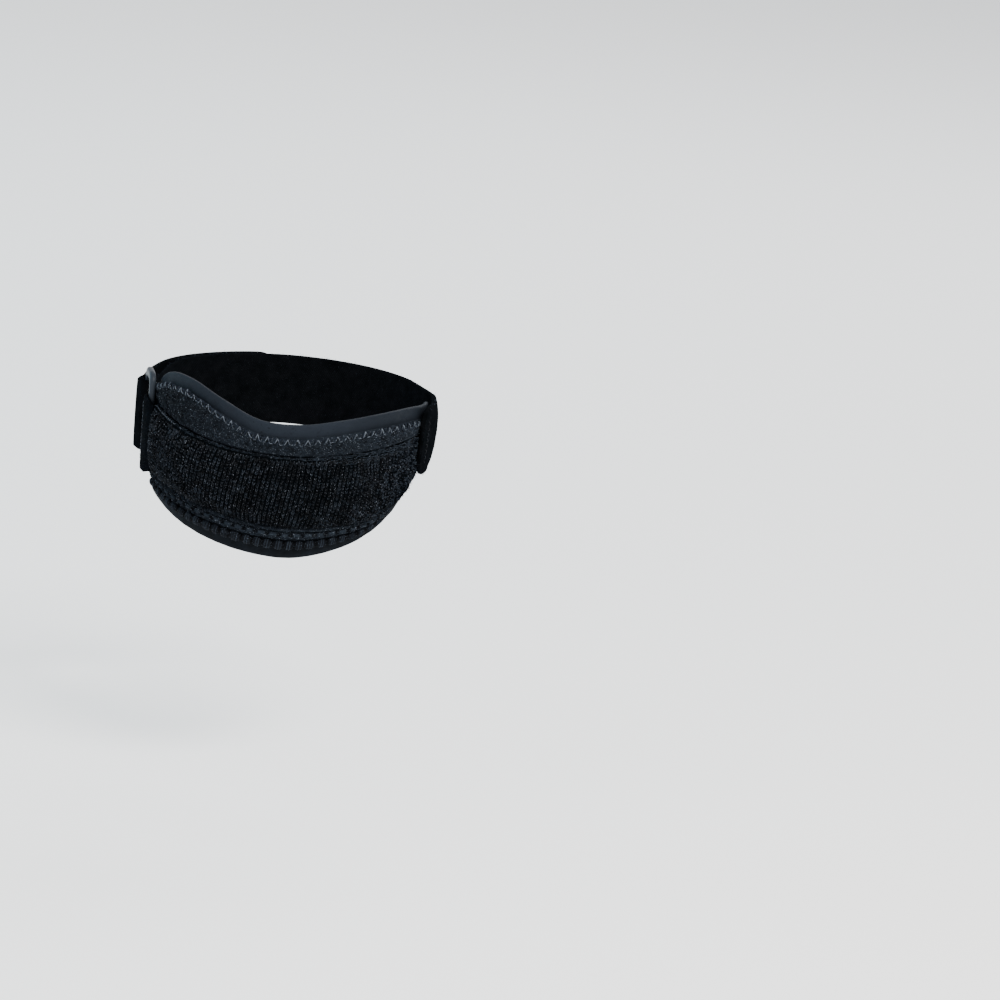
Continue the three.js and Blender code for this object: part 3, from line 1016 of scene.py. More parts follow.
# The same yarn in the ground behind the columns, where little light gets in.
KNIT_GROUND = Finish(
    "knit_ground_polyester", "#010203", "#030507", roughness=0.95, specular=0.01, grain_size=0.3, grain_height=0.12,
)
# The same knit pulled tight over the ring: flat and dull, with few flecks, in a darker copy of its colour that
# paints the shade on the tab.
TIGHT_KNIT = Finish(
    "tight_knit_polyester", "#010203", "#04060a", roughness=0.85, specular=0.015, mottle_size=5.0,
    fleck="#2b323c", fleck_size=0.4, fleck_share=0.05, grain_size=0.2, grain_height=0.12,
    weave=(1.5, 1.2), weave_height=0.08,
)
# Coarse knit of the seam bands, whose loops stand open: dustier with flecks, and greyer where the tint mixes in its
# bright colour, at random on single stitches and as painted light and shade along the bands.
SEAM_KNIT = Finish(
    "seam_knit_open_polyester", "#020305", "#06080c", specular=0.04, sheen=0.015, mottle_size=6.0,
    fleck="#686f78", fleck_size=0.4, fleck_share=0.08, bright="#1d232a", bright_share=1.0,
    grain_size=0.16, grain_height=0.1,
)
# Satin-wrapped cord: bundles of smooth thread, soft on top, with painted shade between them: the tint makes the
# drawn waists between its lumps darker.
WRAPPED_CORD = Finish(
    "wrapped_cord_satin", "#010102", "#030406", roughness=0.65, specular=0.04, sheen=0.01, mottle_size=4.0,
    fleck="#4d5560", fleck_size=0.4, fleck_share=0.08, bright="#1a1f26", bright_share=1.0,
    grain_size=0.2, grain_height=0.06,
)
# Bulked sewing thread, spun and dyed grey: the lightest thing on the pad.
SEWING_THREAD = Finish(
    "sewing_thread_bulked", "#2d3239", "#626971", roughness=0.75, specular=0.05, sheen=0.02, mottle_size=1.6,
    fleck="#14171b", fleck_size=0.8, fleck_share=0.22, grain_size=0.15, grain_height=0.06,
)
# Thicker looper thread, textured and darker, which lies over the raw edge.
LOOPER_THREAD = Finish(
    "looper_thread_textured", "#0b0e13", "#1b212a", specular=0.04, sheen=0.01, mottle_size=1.6,
    fleck="#4a5360", fleck_size=0.36, fleck_share=0.08, grain_size=0.2, grain_height=0.1,
)
# Black thread that a seam isn't meant to show.
DARK_THREAD = Finish(
    "sewing_thread_black", "#0a0b0e", "#181b20", roughness=0.7, sheen=0.02, mottle_size=3.0,
    grain_size=0.15, grain_height=0.05,
)
# Nylon, injection moulded with a fine spark-eroded face: satin and dark, with a painted highlight that makes its
# upper end greyer and painted shade at its lower end.
MOULDED_NYLON = Finish(
    "moulded_nylon_satin", "#040506", "#07090b", roughness=0.38, specular=0.4, refraction=1.18, mottle_size=12.0,
    bright="#22272d", bright_share=1.0, grain_size=0.12, grain_height=0.012,
)
# Elastic webbing with a brushed face: velvety, very dark, and a little blue along its edges.
BRUSHED_ELASTIC = Finish(
    "brushed_elastic_webbing", "#040506", "#0a0b0d", roughness=0.9, specular=0.0, sheen=0.014,
    sheen_tint="#6d8090", mottle_size=5.0, fleck="#14171b", fleck_share=0.08,
    grain_size=0.22, grain_height=0.12, weave=(1.1, 1.3), weave_height=0.14,
)
# Woven hook tape: a hard, plain ground.
WOVEN_HOOK_TAPE = Finish(
    "woven_hook_tape", "#0c0d0f", "#15171a", roughness=0.7, grain_size=0.3, grain_height=0.12,
    weave=(1.2, 1.2), weave_height=0.12,
)
# Loose fibre ends, which catch the light.
LOOSE_FIBRE = Finish(
    "loose_fibre_ends", "#10141a", "#3a4350", sheen=0.03, mottle_size=2.0,
    grain_size=0.3, grain_height=0.0,
)


# --- the pad


@dataclass
class PadBase:
    """The pad's base sheet of bonded jersey, whose edge shows as the border."""

    pad: Pad
    spacing: float = 1.0
    rows: int = 44
    edge_radius: float = 1.0
    corner_radii: tuple[float, float] = (9.0, 6.0)
    pull: float = 0.28
    # Painted light and shade on the border: its colour is dull at both ends, rising to full and falling again
    # between these arcs.
    dull: float = 0.7
    brighter: tuple[float, float, float, float] = (-34.0, -8.0, 16.0, 40.0)

    def build(self) -> Object:
        """Makes the sheet, drawn in a little under its seams.

        Returns:
            The finished piece.
        """
        pad = self.pad
        arcs = rounded_stops(pad.start, pad.end, self.corner_radii, self.spacing)
        cut = corner_cut(arcs - pad.start, self.corner_radii[0]) + corner_cut(pad.end - arcs, self.corner_radii[1])
        bottom = pad.line(PadLine.BOTTOM, arcs) + cut / 2
        top = pad.line(PadLine.TOP, arcs) - cut
        section = strip_section(self.rows)
        out, height = section_rings(section, 0.0, pad.liner_thickness, bottom, top, self.edge_radius)
        arc = arcs[:, None]
        outer = smoothstep(out, 1.2, pad.liner_thickness)
        hem = pad.border_line(arc) - height
        sewn = ridge(height, pad.band_top(arc) + 0.6, 1.6) + ridge(hem, 0.5, 1.3) + 0.6 * ridge(hem, 2.3, 0.7)
        out = out - outer * self.pull * (sewn + 0.5 * wander(arc, height, 7.0, 3))
        piece = closed_mesh("liner_sheet", pad.leg.place(arc, out, height), cloth_of(arc, height, out))
        # Painted shade: the outer face is coloured darker from 12 mm above the piping's foot down to the lower
        # edge, where the border turns under away from the light; the inner side keeps the full colour.
        lit = np.maximum(smoothstep(height - pad.border_line(arc), 2.0, 12.0), 1 - smoothstep(out, 0.4, 1.2))
        left, right = self.brighter[:2], self.brighter[2:]
        shade = self.dull + (1 - self.dull) * smoothstep(arc, *left) * (1 - smoothstep(arc, *right))
        store(piece.data, tint=0.85 * lit * np.maximum(shade, 1 - outer))
        return settle(piece, BONDED_JERSEY, Slot.LINER, "liner")


class Band:
    """A layer of the pad that lies between two long lines."""

    foot: Callable[[Array], Array]
    top: Callable[[Array], Array]
    place: Placing

    def span(self, arc: Array) -> Array:
        """Returns the height from its foot to its top."""
        return self.top(arc) - self.foot(arc)

    def level(self, arc: Array, share: Array) -> Array:
        """Returns the height of a share of it."""
        return self.foot(arc) + self.span(arc) * share

    def face(self) -> Face:
        """Returns its outer face."""
        return Face(self.place, self.level)


@dataclass
class SeamBand(Band):
    """One of the two knit strips beside the cushion, with the stitches that cover it."""

    pad: Pad
    name: str
    node: str
    foot: Callable[[Array], Array]
    top: Callable[[Array], Array]
    last: float
    # Each ridge's middle and half width as shares of the height, and its rise in millimetres.
    ridges: tuple[tuple[float, float, float], ...]
    # The needle holes' share of the height, and their pitch and half sizes along and up in millimetres.
    holes: tuple[float, float, float, float] = (0.0, 0.0, 0.0, 0.0)
    bare_top: float = 0.0
    open_share: float = 0.0
    spacing: float = 0.6
    rows: int = 30
    wale_pitch: float = 1.15
    course_pitch: float = 1.05
    stitch: Stitch = Stitch(0.4, 1.15, 0.62, 0.52, 0.7, 0.45)
    seed: int = 5

    def first(self) -> float:
        """Returns the arc at which the band starts."""
        return self.pad.start + self.pad.band_inset

    def relief(self, arc: Array, share: Array) -> Array:
        """Returns how far the knit stands off its even face, in millimetres.

        Args:
            arc: Distances along the leg.
            share: Shares of its height.

        Returns:
            The rise at each place.
        """
        total = 0.16 * wander(arc, share * 8, 4.0, self.seed) - 0.9 * self.hole(arc, share)
        for middle, half_width, rise in self.ridges:
            total = total + rise * ridge(share, middle, half_width)
        below_top = (1 - share) * self.span(arc)
        return total - 0.8 * (1 - smoothstep(below_top, self.bare(arc) - 0.5, self.bare(arc) + 0.1))

    def bare(self, arc: Array) -> Array:
        """Returns how much of the band's top stays smooth, above the row that is sewn over it."""
        return self.bare_top * smoothstep(arc, -45, -15)

    def hole(self, arc: Array, share: Array) -> Array:
        """Returns 1 in the middle of each needle hole and 0 outside, where the band has holes.

        Args:
            arc: Distances along the leg.
            share: Shares of its height.

        Returns:
            The value at each place.
        """
        middle, pitch, half_along, half_up = self.holes
        if not pitch:
            return np.zeros(np.broadcast(arc, share).shape)
        along = ((arc / pitch + 0.5) % 1 - 0.5) * pitch / half_along
        up = (share - middle) * self.span(arc) / half_up
        return np.clip(1.3 - along**2 - up**2, 0, 1)

    def place(self, arc: Array, share: Array) -> Array:
        """Returns points on the band's face.

        Args:
            arc: Distances along the leg.
            share: Shares of its height.

        Returns:
            The points, in metres.
        """
        out = self.pad.face_outer + self.relief(arc, share)
        edge = np.minimum(1, np.minimum(share, 1 - share) * 7)
        return self.pad.leg.place(arc, out - 0.8 * (1 - edge) ** 2, self.level(arc, share))

    def ground(self) -> Object:
        """Makes the band's own solid strip, with its ridges and grooves.

        Returns:
            The finished piece.
        """
        pad = self.pad
        arcs = stops(self.first(), self.last, self.spacing)
        foot, top = self.foot(arcs), self.top(arcs)
        span = (top - foot)[:, None]
        out, height = section_rings(strip_section(self.rows), pad.face_inner, pad.face_outer, foot, top, 0.6)
        share = (height - foot[:, None]) / span
        outer = smoothstep(out, pad.face_inner + 0.9, pad.face_outer)
        out = out + outer * self.relief(arcs[:, None], share)
        arc = arcs[:, None]
        piece = closed_mesh(self.name, pad.leg.place(arc, out, height), cloth_of(arc, height, out))
        # Painted light and shade on the band's colour: raised ridges lighter and grooves darker, the needle holes
        # black, and darker towards the ring end by the glow; it is also lighter along the row of needle holes and
        # on the smooth top above the sewn row.
        bare = 1 - smoothstep((1 - share) * span, self.bare(arc) - 0.2, self.bare(arc) + 0.3)
        near = ridge((share - self.holes[0]) * span, 0, 1.1) * (self.holes[1] > 0)
        lit = 0.4 * self.glow(arc) ** 2 + 0.3 * self.relief(arc, share) + 0.35 * near
        lit = np.clip(lit, 0, 1) * (self.hole(arc, share) == 0)
        store(piece.data, tint=np.where(self.bare(arc) > 0.1, np.maximum(lit, 0.8 * bare), lit))
        return settle(piece, SEAM_KNIT, Slot.SEAM, self.node)

    def glow(self, arc: Array) -> Array:
        """Returns how light the yarn is coloured, as painted shade and light: darker towards the ring end, a little
        lighter towards the right end.
        """
        return 0.35 + 0.6 * smoothstep(arc, -66, -14) + 0.1 * smoothstep(arc, 20, 60)

    def stitches(self, tree: Tree) -> Object:
        """Covers the band with open, uneven stitches.

        Args:
            tree: The tree of knitted stitches.

        Returns:
            The finished piece.
        """
        arcs = stops(self.first() + 0.7, self.last - 0.7, self.wale_pitch)
        arc, share, below = self.face().rows(arcs, self.course_pitch, (0.35, 0.1))
        coarse = 1 - smoothstep(arc, -42, -22)
        missing = np.random.default_rng(self.seed).random(arc.shape) < self.open_share * coarse
        holed = np.abs(share - self.holes[0]) * self.span(arc) < self.holes[3]
        kept = ~holed & (below > self.bare(arc)) & ~missing & (self.relief(arc, share) > -0.4)
        arc, share, coarse = arc[kept], share[kept], coarse[kept]
        spots = self.face().spots(arc, share).jostle(0.12, 0.15, self.seed)
        size = 1 + 0.2 * coarse + 0.2 * wander(arc, share * 9, 4.0, self.seed + 2)
        return self.stitch.grow(
            self.name + "_stitches", spots, tree, SEAM_KNIT, Slot.SEAM, self.seed, size=size, glow=self.glow(arc),
        )


@dataclass
class Cushion(Band):
    """The raised rib-knit band along the middle of the pad."""

    pad: Pad
    rise: float = 6.6
    edge: float = 0.9
    # How much the columns lean to the side for each millimetre up.
    lean: float = 0.13
    # Where the knit opens into loose loops, where it catches more light, and where its lower corner is finer.
    loose: tuple[float, float] = (36.0, 62.0)
    lit: tuple[float, float] = (34.0, 58.0)
    finer: tuple[float, float] = (38.0, 54.0)
    # How full it is, from 0 to 1, along the pad's length.
    fill: tuple[tuple[float, float], ...] = (
        (0.0, 0.68), (0.12, 0.7), (0.25, 0.86), (0.42, 1.0), (0.58, 0.96),
        (0.7, 0.56), (0.8, 0.16), (0.85, 0.06), (1.0, 0.0),
    )
    swell: Array | None = field(default=None, repr=False)

    @property
    def first(self) -> float:
        """The arc at which the cushion starts."""
        return self.pad.start + self.pad.cushion_inset

    @property
    def last(self) -> float:
        """The arc at which the cushion ends."""
        return self.pad.end - self.pad.end_inset

    def foot(self, arc: Array) -> Array:
        """Returns the height of the cushion's lower edge."""
        return self.pad.line(PadLine.LOWER_SEAM, arc) + self.pad.seam_gap / 2

    def top(self, arc: Array) -> Array:
        """Returns the height of the cushion's upper edge."""
        return self.pad.line(PadLine.UPPER_SEAM, arc) - self.pad.seam_gap / 2

    def crown(self, arc: Array) -> Array:
        """Returns how far the cushion's middle stands above its inner side.

        Args:
            arc: Distances along the leg.

        Returns:
            The height of its crown.
        """
        share = (np.asarray(arc, float) - self.pad.start) / self.pad.length
        fill = np.maximum(0, smooth_between(np.array(self.fill), 1, share))
        return self.pad.face_thickness + (self.rise - self.pad.face_thickness) * fill

    def out(self, arc: Array, share: Array) -> Array:
        """Returns how far out the cover is, with the cord sewn under its upper edge.

        Args:
            arc: Distances along the leg.
            share: Shares of its height.

        Returns:
            The distance out at each place.
        """
        share = np.clip(share, 0, 1)
        round_face = (2 * np.sqrt(share * (1 - share))) ** 0.8
        below_top = (1 - share) * self.span(arc)
        cord = 0.6 * ridge(below_top, 1.2, 1.1) - 0.3 * ridge(below_top, 2.5, 0.6)
        tuck = -0.3 * ridge(share * self.span(arc), 2.0, 0.9)
        out = self.edge + (self.crown(arc) - self.edge) * round_face + cord + tuck
        return self.pad.face_inner + out + self.sag(arc, share)

    def sag(self, arc: Array, share: Array) -> Array:
        """Returns what the simulated cover adds, in millimetres, or nothing before it has run.

        Args:
            arc: Distances along the leg.
            share: Shares of its height.

        Returns:
            The swell at each place.
        """
        if self.swell is None:
            return np.zeros(np.broadcast(arc, share).shape)
        rows, columns = self.swell.shape
        x = np.clip((arc - self.first) / (self.last - self.first), 0, 1) * (columns - 1)
        y = np.clip(share, 0, 1) * (rows - 1)
        x, y = np.broadcast_arrays(x, y)
        i, j = np.minimum(y.astype(int), rows - 2), np.minimum(x.astype(int), columns - 2)
        s, t = y - i, x - j
        lower = self.swell[i, j] * (1 - t) + self.swell[i, j + 1] * t
        upper = self.swell[i + 1, j] * (1 - t) + self.swell[i + 1, j + 1] * t
        return lower * (1 - s) + upper * s

    def place(self, arc: Array, share: Array) -> Array:
        """Returns points on the cushion's face, in metres."""
        return self.pad.leg.place(arc, self.out(arc, share), self.level(arc, np.clip(share, 0, 1)))

    def simulate(self, columns: int = 84, rows: int = 22, steps: int = 20, cap: float = 0.9) -> None:
        """Blows the cover up as simulated cloth sewn down along its edges, and keeps its swell.

        Args:
            columns: Points along the cover.
            rows: Points up the cover.
            steps: The frames that it runs for.
            cap: The most that a point may move in or out, in millimetres.
        """
        arc = np.linspace(self.first, self.last, columns)[None, :]
        share = (1 - np.cos(np.linspace(0, np.pi, rows)))[:, None] / 2
        rest = self.place(*np.broadcast_arrays(arc, share))
        index = np.arange(rows * columns).reshape(rows, columns)
        faces = np.stack([index[:-1, :-1], index[:-1, 1:], index[1:, 1:], index[1:, :-1]], -1).reshape(-1, 4)
        mesh = bpy.data.meshes.new("cover")
        mesh.from_pydata(rest.reshape(-1, 3).tolist(), [], faces.tolist())
        cover = new_object("cover", mesh)
        sewn = cover.vertex_groups.new(name="sewn")
        edge = np.concatenate([index[0], index[-1], index[:, 0], index[:, -1]])
        sewn.add(np.unique(edge).tolist(), 1.0, "REPLACE")
        cloth = cover.modifiers.new("cloth", "CLOTH")
        settings = {
            "quality": 6, "mass": 0.05, "vertex_group_mass": "sewn", "shrink_min": -0.05, "use_pressure": True,
            "uniform_pressure_force": 4.0, "bending_stiffness": 0.2,
        }
        for key, value in settings.items():
            setattr(cloth.settings, key, value)
        cloth.settings.effector_weights.gravity = 0.0
        cloth.collision_settings.use_collision = False
        scene = bpy.context.scene
        for step in range(1, steps + 1):
            scene.frame_set(step)
        evaluated = cover.evaluated_get(bpy.context.evaluated_depsgraph_get())
        moved = np.array([v.co for v in evaluated.data.vertices]).reshape(rows, columns, 3)
        scene.frame_set(1)
        facing = self.face().spots(*np.broadcast_arrays(arc, share)).facing
        swell = ((moved - rest) * facing).sum(-1) / MM
        bpy.data.objects.remove(cover)
        LOG.info("cover: moved %.2f to %.2f mm", swell.min(), swell.max())
        even = np.linspace(0, 1, 4 * rows)
        fine = np.stack([np.interp(even, share[:, 0], column) for column in swell.T], 1)
        self.swell = cap * np.tanh(fine / cap)

    def ground(self) -> Object:
        """Makes the padded body under the knitted columns.

        Returns:
            The finished piece.
        """
        arcs = stops(self.first, self.last, 0.8)[:, None]
        share = (1 - np.cos(np.linspace(0, np.pi, 64)))[None, :] / 2
        back = np.linspace(1, 0, 12)[None, :]
        shares = np.concatenate([share, back], 1)
        outer = np.concatenate([np.ones(share.shape), np.zeros(back.shape)], 1)
        height = self.level(arcs, shares)
        out = np.where(outer > 0, self.out(arcs, shares), self.pad.face_inner)
        piece = closed_mesh("cushion_pad", self.pad.leg.place(arcs, out, height), cloth_of(arcs, height, out))
        return settle(piece, KNIT_GROUND, Slot.CUSHION, "cushion")

    def columns(self, tree: Tree) -> None:
        """Covers the cushion with leaning knitted columns, and the cord in its upper edge with loops.

        Args:
            tree: The tree of knitted stitches.
        """
        # Name, wale and course pitch, the least and the most below the top, finish, and stitch.
        parts = (
            ("cushion_ribs", 1.75, 1.35, (2.6, 99), RIB_KNIT, Stitch(0.5, 1.5, 0.95, 0.62, 0.3, 0.16)),
            ("cushion_cord_loops", 1.1, 0.85, (0, 2.2), SEAM_KNIT, Stitch(0.42, 1.3, 0.55, 0.4, 1.15, 0.35)),
        )
        face = self.face()
        for name, wale_pitch, course_pitch, (least, most), finish, stitch in parts:
            wales = stops(self.first + 0.9, self.last - 0.9, wale_pitch)
            arc, share, below = face.rows(wales, course_pitch, (0.3, 0.35))
            kept = (below > least) & (below < most)
            arc, share, below = arc[kept], share[kept], below[kept]
            lean = self.lean * (1 - smoothstep(np.abs(arc), 50, 70))
            shifted = arc + lean * (face.height(arc, share) - face.height(arc, 0.5 + 0 * share))
            loose, up = smoothstep(arc, *self.loose), share * 30
            size = 1.08 - 0.25 * loose + 0.1 * wander(arc, up, 8.0, 21)
            size = size * (1 + 0.35 * ridge(below, 3.7, 1.4))
            size = size * (1 - 0.45 * smoothstep(arc, *self.finer) * (1 - smoothstep(share, 0.15, 0.5)))
            shake = 0.07 + 0.3 * loose + 0.08 * (arc < -40) + 0.06 * np.abs(wander(arc, up, 11.0, 25))
            glow = 0.8 + 0.9 * smoothstep(arc, *self.lit) + 0.4 * wander(arc, up, 13.0, 23)
            spots = face.spots(shifted, share, lift=0.05).leaned(self.lean).jostle(0.5 * shake, shake, 17)
            stitch.grow(name, spots, tree, finish, Slot.CUSHION, 11, size=size, glow=np.maximum(0.2, glow))


@dataclass
class EdgePiping:
    """The roll along the pad's lower edge, wrapped in thread and drawn in by a stitch at each pitch."""

    pad: Pad
    thickness: float = 2.7
    pitch: float = 4.6
    end_short: float = 46.0
    waist: float = 0.42
    wrap_pitch: float = 1.0
    wrap_thread: float = 0.56

    def girths(self, arcs: Array) -> tuple[Array, ...]:
        """Returns the roll's middle out and up, its half sizes out and up, and its fullness, at each arc.

        Args:
            arcs: Distances along the leg.

        Returns:
            The five, one after the other.
        """
        pad = self.pad
        first, last = pad.start + pad.band_inset, pad.end - self.end_short
        pitch = (last - first) / round((last - first) / self.pitch)
        drawn = np.abs(np.cos(np.pi * (arcs - first) / pitch + 0.35 * wander(arcs, 0 * arcs, 17.0, 51))) ** 4
        low, high = pad.border_line(arcs), pad.hem_line(arcs) - pad.seam_gap / 2
        half_up = (high - low) / 2 * (1 - self.waist * drawn)
        half_out = self.thickness / 2 * np.minimum(1, pad.hem_scale(arcs)) ** 2
        middle = pad.face_inner + half_out * (1 - 0.5 * self.waist * drawn)
        return middle, (low + high) / 2, half_out * (1 - self.waist * drawn), half_up, 1 - drawn

    def build(self) -> None:
        """Makes the roll and the thread wound round it."""
        pad = self.pad
        arcs = stops(pad.start + pad.band_inset, pad.end - self.end_short, 0.25)[:, None]
        middle_out, middle_up, half_out, half_up, full = self.girths(arcs)
        turn = (2 * np.pi * (np.arange(18) + 0.5) / 18 - np.pi / 2)[None, :]
        out, height = middle_out + half_out * np.cos(turn), middle_up + half_up * np.sin(turn)
        piece = closed_mesh("piping_roll", pad.leg.place(arcs, out, height), cloth_of(arcs, height, out))
        # Painted shade: the roll is coloured darker in the drawn-in waists between its lumps.
        store(piece.data, tint=0.15 * np.broadcast_to(full, out.shape))
        settle(piece, WRAPPED_CORD, Slot.SEAM, "edge_piping")
        arc = np.arange(arcs[0, 0] + 0.4, arcs[-1, 0] - 0.4, self.wrap_pitch / 12)
        _, _, half_out, half_up, full = self.girths(arc)
        face = Face(
            lambda at, share: pad.leg.place(at, self.girths(at)[0], self.girths(at)[1] + share - 0.5),
            lambda at, share: self.girths(at)[1] + share - 0.5,
        )
        # Painted shade: the wrap thread is coloured darker in the waists between the lumps, with a random change
        # along the roll.
        light = full**2 * (0.75 + 0.35 * wander(arc, 0 * arc, 3.1, 53))
        flat = float((half_out / half_up).mean())
        wrap = Thread(ThreadPath.WHIP, WRAPPED_CORD, self.wrap_pitch, 1.0, flat, self.wrap_thread)
        wrap.sew("piping_wrap", face.spots(arc, np.full(arc.shape, 0.5)), Slot.SEAM, size=half_up, tint=light)


# --- the ring, its tab and the strap


@dataclass(frozen=True)
class RingPlan:
    """Where the ring lies on the pad's end, in millimetres."""

    leg: Leg = Leg()
    arc: float = -82.5
    bar: float = 3.4
    cross_bar: float = 4.4
    thickness: float = 2.8
    slot_length: float = 11.0
    corner_radius: float = 3.6
    bar_play: float = 0.55
    slot_top: float = 16.3
    slot_bottom: float = -20.3
    tab_thickness: float = 1.4
    pad_face: float = 2.7

    @property
    def bar_offset(self) -> float:
        """How far each upright bar is from the ring's centre."""
        return (self.slot_length + self.bar) / 2

    @property
    def lift(self) -> float:
        """How far out the ring's mid plane is.

        Returns:
            The distance out from the leg, in millimetres.
        """
        depth = self.leg.front_depth
        sag = depth - math.sqrt(depth**2 - self.bar_offset**2)
        return self.pad_face + self.tab_thickness + self.bar_play + self.thickness / 2 - sag

    def plan(self, forward: Array, out: Array) -> Array:
        """Returns places in plan from distances forward of the ring's centre and out of its plane."""
        point, along, outward = self.leg.plan(self.arc, self.lift)
        return point + along * np.asarray(forward)[..., None] + outward * np.asarray(out)[..., None]

    def turn(self, bar: float, facing: float, thickness: float, last: float, steps: int) -> Array:
        """Makes the plan of a turn round one of the upright bars.

        Args:
            bar: How far forward the bar is.
            facing: 1 where the turn goes round its front, -1 where it goes round its rear.
            thickness: The thickness of what turns.
            last: The angle at which the turn ends.
            steps: How many steps it has.

        Returns:
            The points, from the inner side towards the outer side.
        """
        angle = np.linspace(-np.pi / 2, last, steps + 1)
        forward = self.bar / 2 + self.bar_play + thickness / 2
        out = self.thickness / 2 + self.bar_play + thickness / 2
        return self.plan(bar + facing * forward * np.cos(angle), out * np.sin(angle))


@dataclass
class Ring:
    """The moulded rectangular ring."""

    plan: RingPlan
    corner_steps: int = 12
    edge_radius: float = 1.15

    def path(self) -> Array:
        """Returns the ring's centre line: forward, rise, the way across it in both, and the bar's width.

        Returns:
            A row of those five for each stop.
        """
        plan, radius = self.plan, self.plan.corner_radius
        half_up = (plan.slot_top - plan.slot_bottom + plan.cross_bar) / 2
        rows = []
        for quarter, (front, upper) in enumerate([(1, 1), (-1, 1), (-1, -1), (1, -1)]):
            for step in range(self.corner_steps + 1):
                angle = (quarter + step / self.corner_steps) * math.pi / 2
                way = (math.cos(angle), math.sin(angle))
                forward = front * (plan.bar_offset - radius) + way[0] * radius
                rise = upper * (half_up - radius) + way[1] * radius
                rows.append((forward, rise, *way, plan.bar + (plan.cross_bar - plan.bar) * abs(way[1])))
        return np.array(rows)

    def build(self) -> Object:
        """Makes the ring.

        Returns:
            The finished piece.
        """
        plan = self.plan
        forward, rise, way_forward, way_up, width = (column[:, None] for column in self.path().T)
        half = width / 2
        across, out = section_rings(
            strip_section(3, 5), -half[:, 0], half[:, 0], -plan.thickness / 2, plan.thickness / 2, self.edge_radius
        )
        middle = (plan.slot_top + plan.slot_bottom) / 2
        height = middle + rise + way_up * across
        place = plan.plan(forward + way_forward * across, out)
        rings = plan.leg.drape(place, height)
        piece = closed_mesh("ring_moulding", rings, cloth_of(forward, height, out), joined=True)
        # Painted light and shade: the ring is coloured lighter at its upper end and darker at its lower end.
        store(piece.data, tint=smoothstep(height + 0 * out, -14, 6))
        return settle(piece, MOULDED_NYLON, Slot.RING, "ring")


@dataclass
class Route:
    """The way a strip takes in plan, with its height, curl and corner cut at each stop, in millimetres."""

    leg: Leg
    plan: Array
    height: Array
    curl: Array
    cut: Array
    thickness: float
    width: float

    def outward(self) -> Array:
        """Returns the way out at each stop.

        Returns:
            The ways out, in plan.
        """
        along = np.gradient(self.plan, axis=0)
        along /= np.linalg.norm(along, axis=1, keepdims=True)
        return np.stack([along[:, 1], -along[:, 0]], -1)

    def reach(self) -> Array:
        """Returns how far along the route each stop is."""
        return np.append(0, np.cumsum(np.linalg.norm(np.diff(self.plan, axis=0), axis=1)))

    def lay(self, out: Array, rise: Array) -> Array:
        """Returns points in metres from distances off the route's mid line and up from it.

        Args:
            out: The distances off it, in millimetres, a row for each stop.
            rise: The distances up from it.

        Returns:
            The points.
        """
        out = out - self.curl[:, None] * np.minimum(1, np.abs(rise / (self.width / 2))) ** 3
        place = self.plan[:, None, :] + self.outward()[:, None, :] * out[..., None]
        return self.leg.drape(place, self.height[:, None] + rise)

    def solid(self, name: str, rows: int, radius: float, relief: Placing) -> Object:
        """Makes the strip.

        Args:
            name: The piece's name.
            rows: How many rows of points each side has.
            radius: The rounding of its edges.
            relief: What its outer side stands off, from the distance along and the rise.

        Returns:
            The new object.
        """
        half = self.width / 2 - self.cut
        thick = self.thickness / 2
        out, rise = section_rings(strip_section(rows), -thick, thick, -half, half, radius)
        along = self.reach()[:, None]
        out = out + smoothstep(out, 0, thick) * relief(along, rise)
        return closed_mesh(name, self.lay(out, rise), cloth_of(along, rise, out))

    def face(self) -> Face:
        """Returns the strip's outer face, read by the distance along the route.

        Returns:
            The face.
        """
        reach, outward = self.reach(), self.outward()

        def place(at: Array, share: Array) -> Array:
            """Returns points on the outer face, in metres.

            Args:
                at: Distances along the route.
                share: Shares of the width.

            Returns:
                The points.
            """
            values = {
                "x": self.plan[:, 0], "y": self.plan[:, 1], "ox": outward[:, 0], "oy": outward[:, 1],
                "height": self.height, "curl": self.curl,
            }
            here = {key: np.interp(at, reach, value) for key, value in values.items()}
            rise = (share - 0.5) * self.width
            out = self.thickness / 2 - here["curl"] * np.abs(rise / (self.width / 2)) ** 3
            plan = np.stack([here["x"] + here["ox"] * out, here["y"] + here["oy"] * out], -1)
            return self.leg.drape(plan, here["height"] + rise)

        return Face(place, lambda at, share: (share - 0.5) * self.width)

    def across(self, at: float, margin: float, count: int, lift: float) -> Spots:
        """Finds a line of places straight across the strip's outer face.

        Args:
            at: How far along the route it is, in millimetres.
            margin: The share of the width that stays free at each edge.
            count: How many places it has.
            lift: How far they stand off the face.

        Returns:
            The places, with their way up along the strip.
        """
        spots = self.face().spots(np.full(count, at), np.linspace(margin, 1 - margin, count), lift=lift)
        spots.upward = np.cross(spots.facing, spots.upward)
        return spots


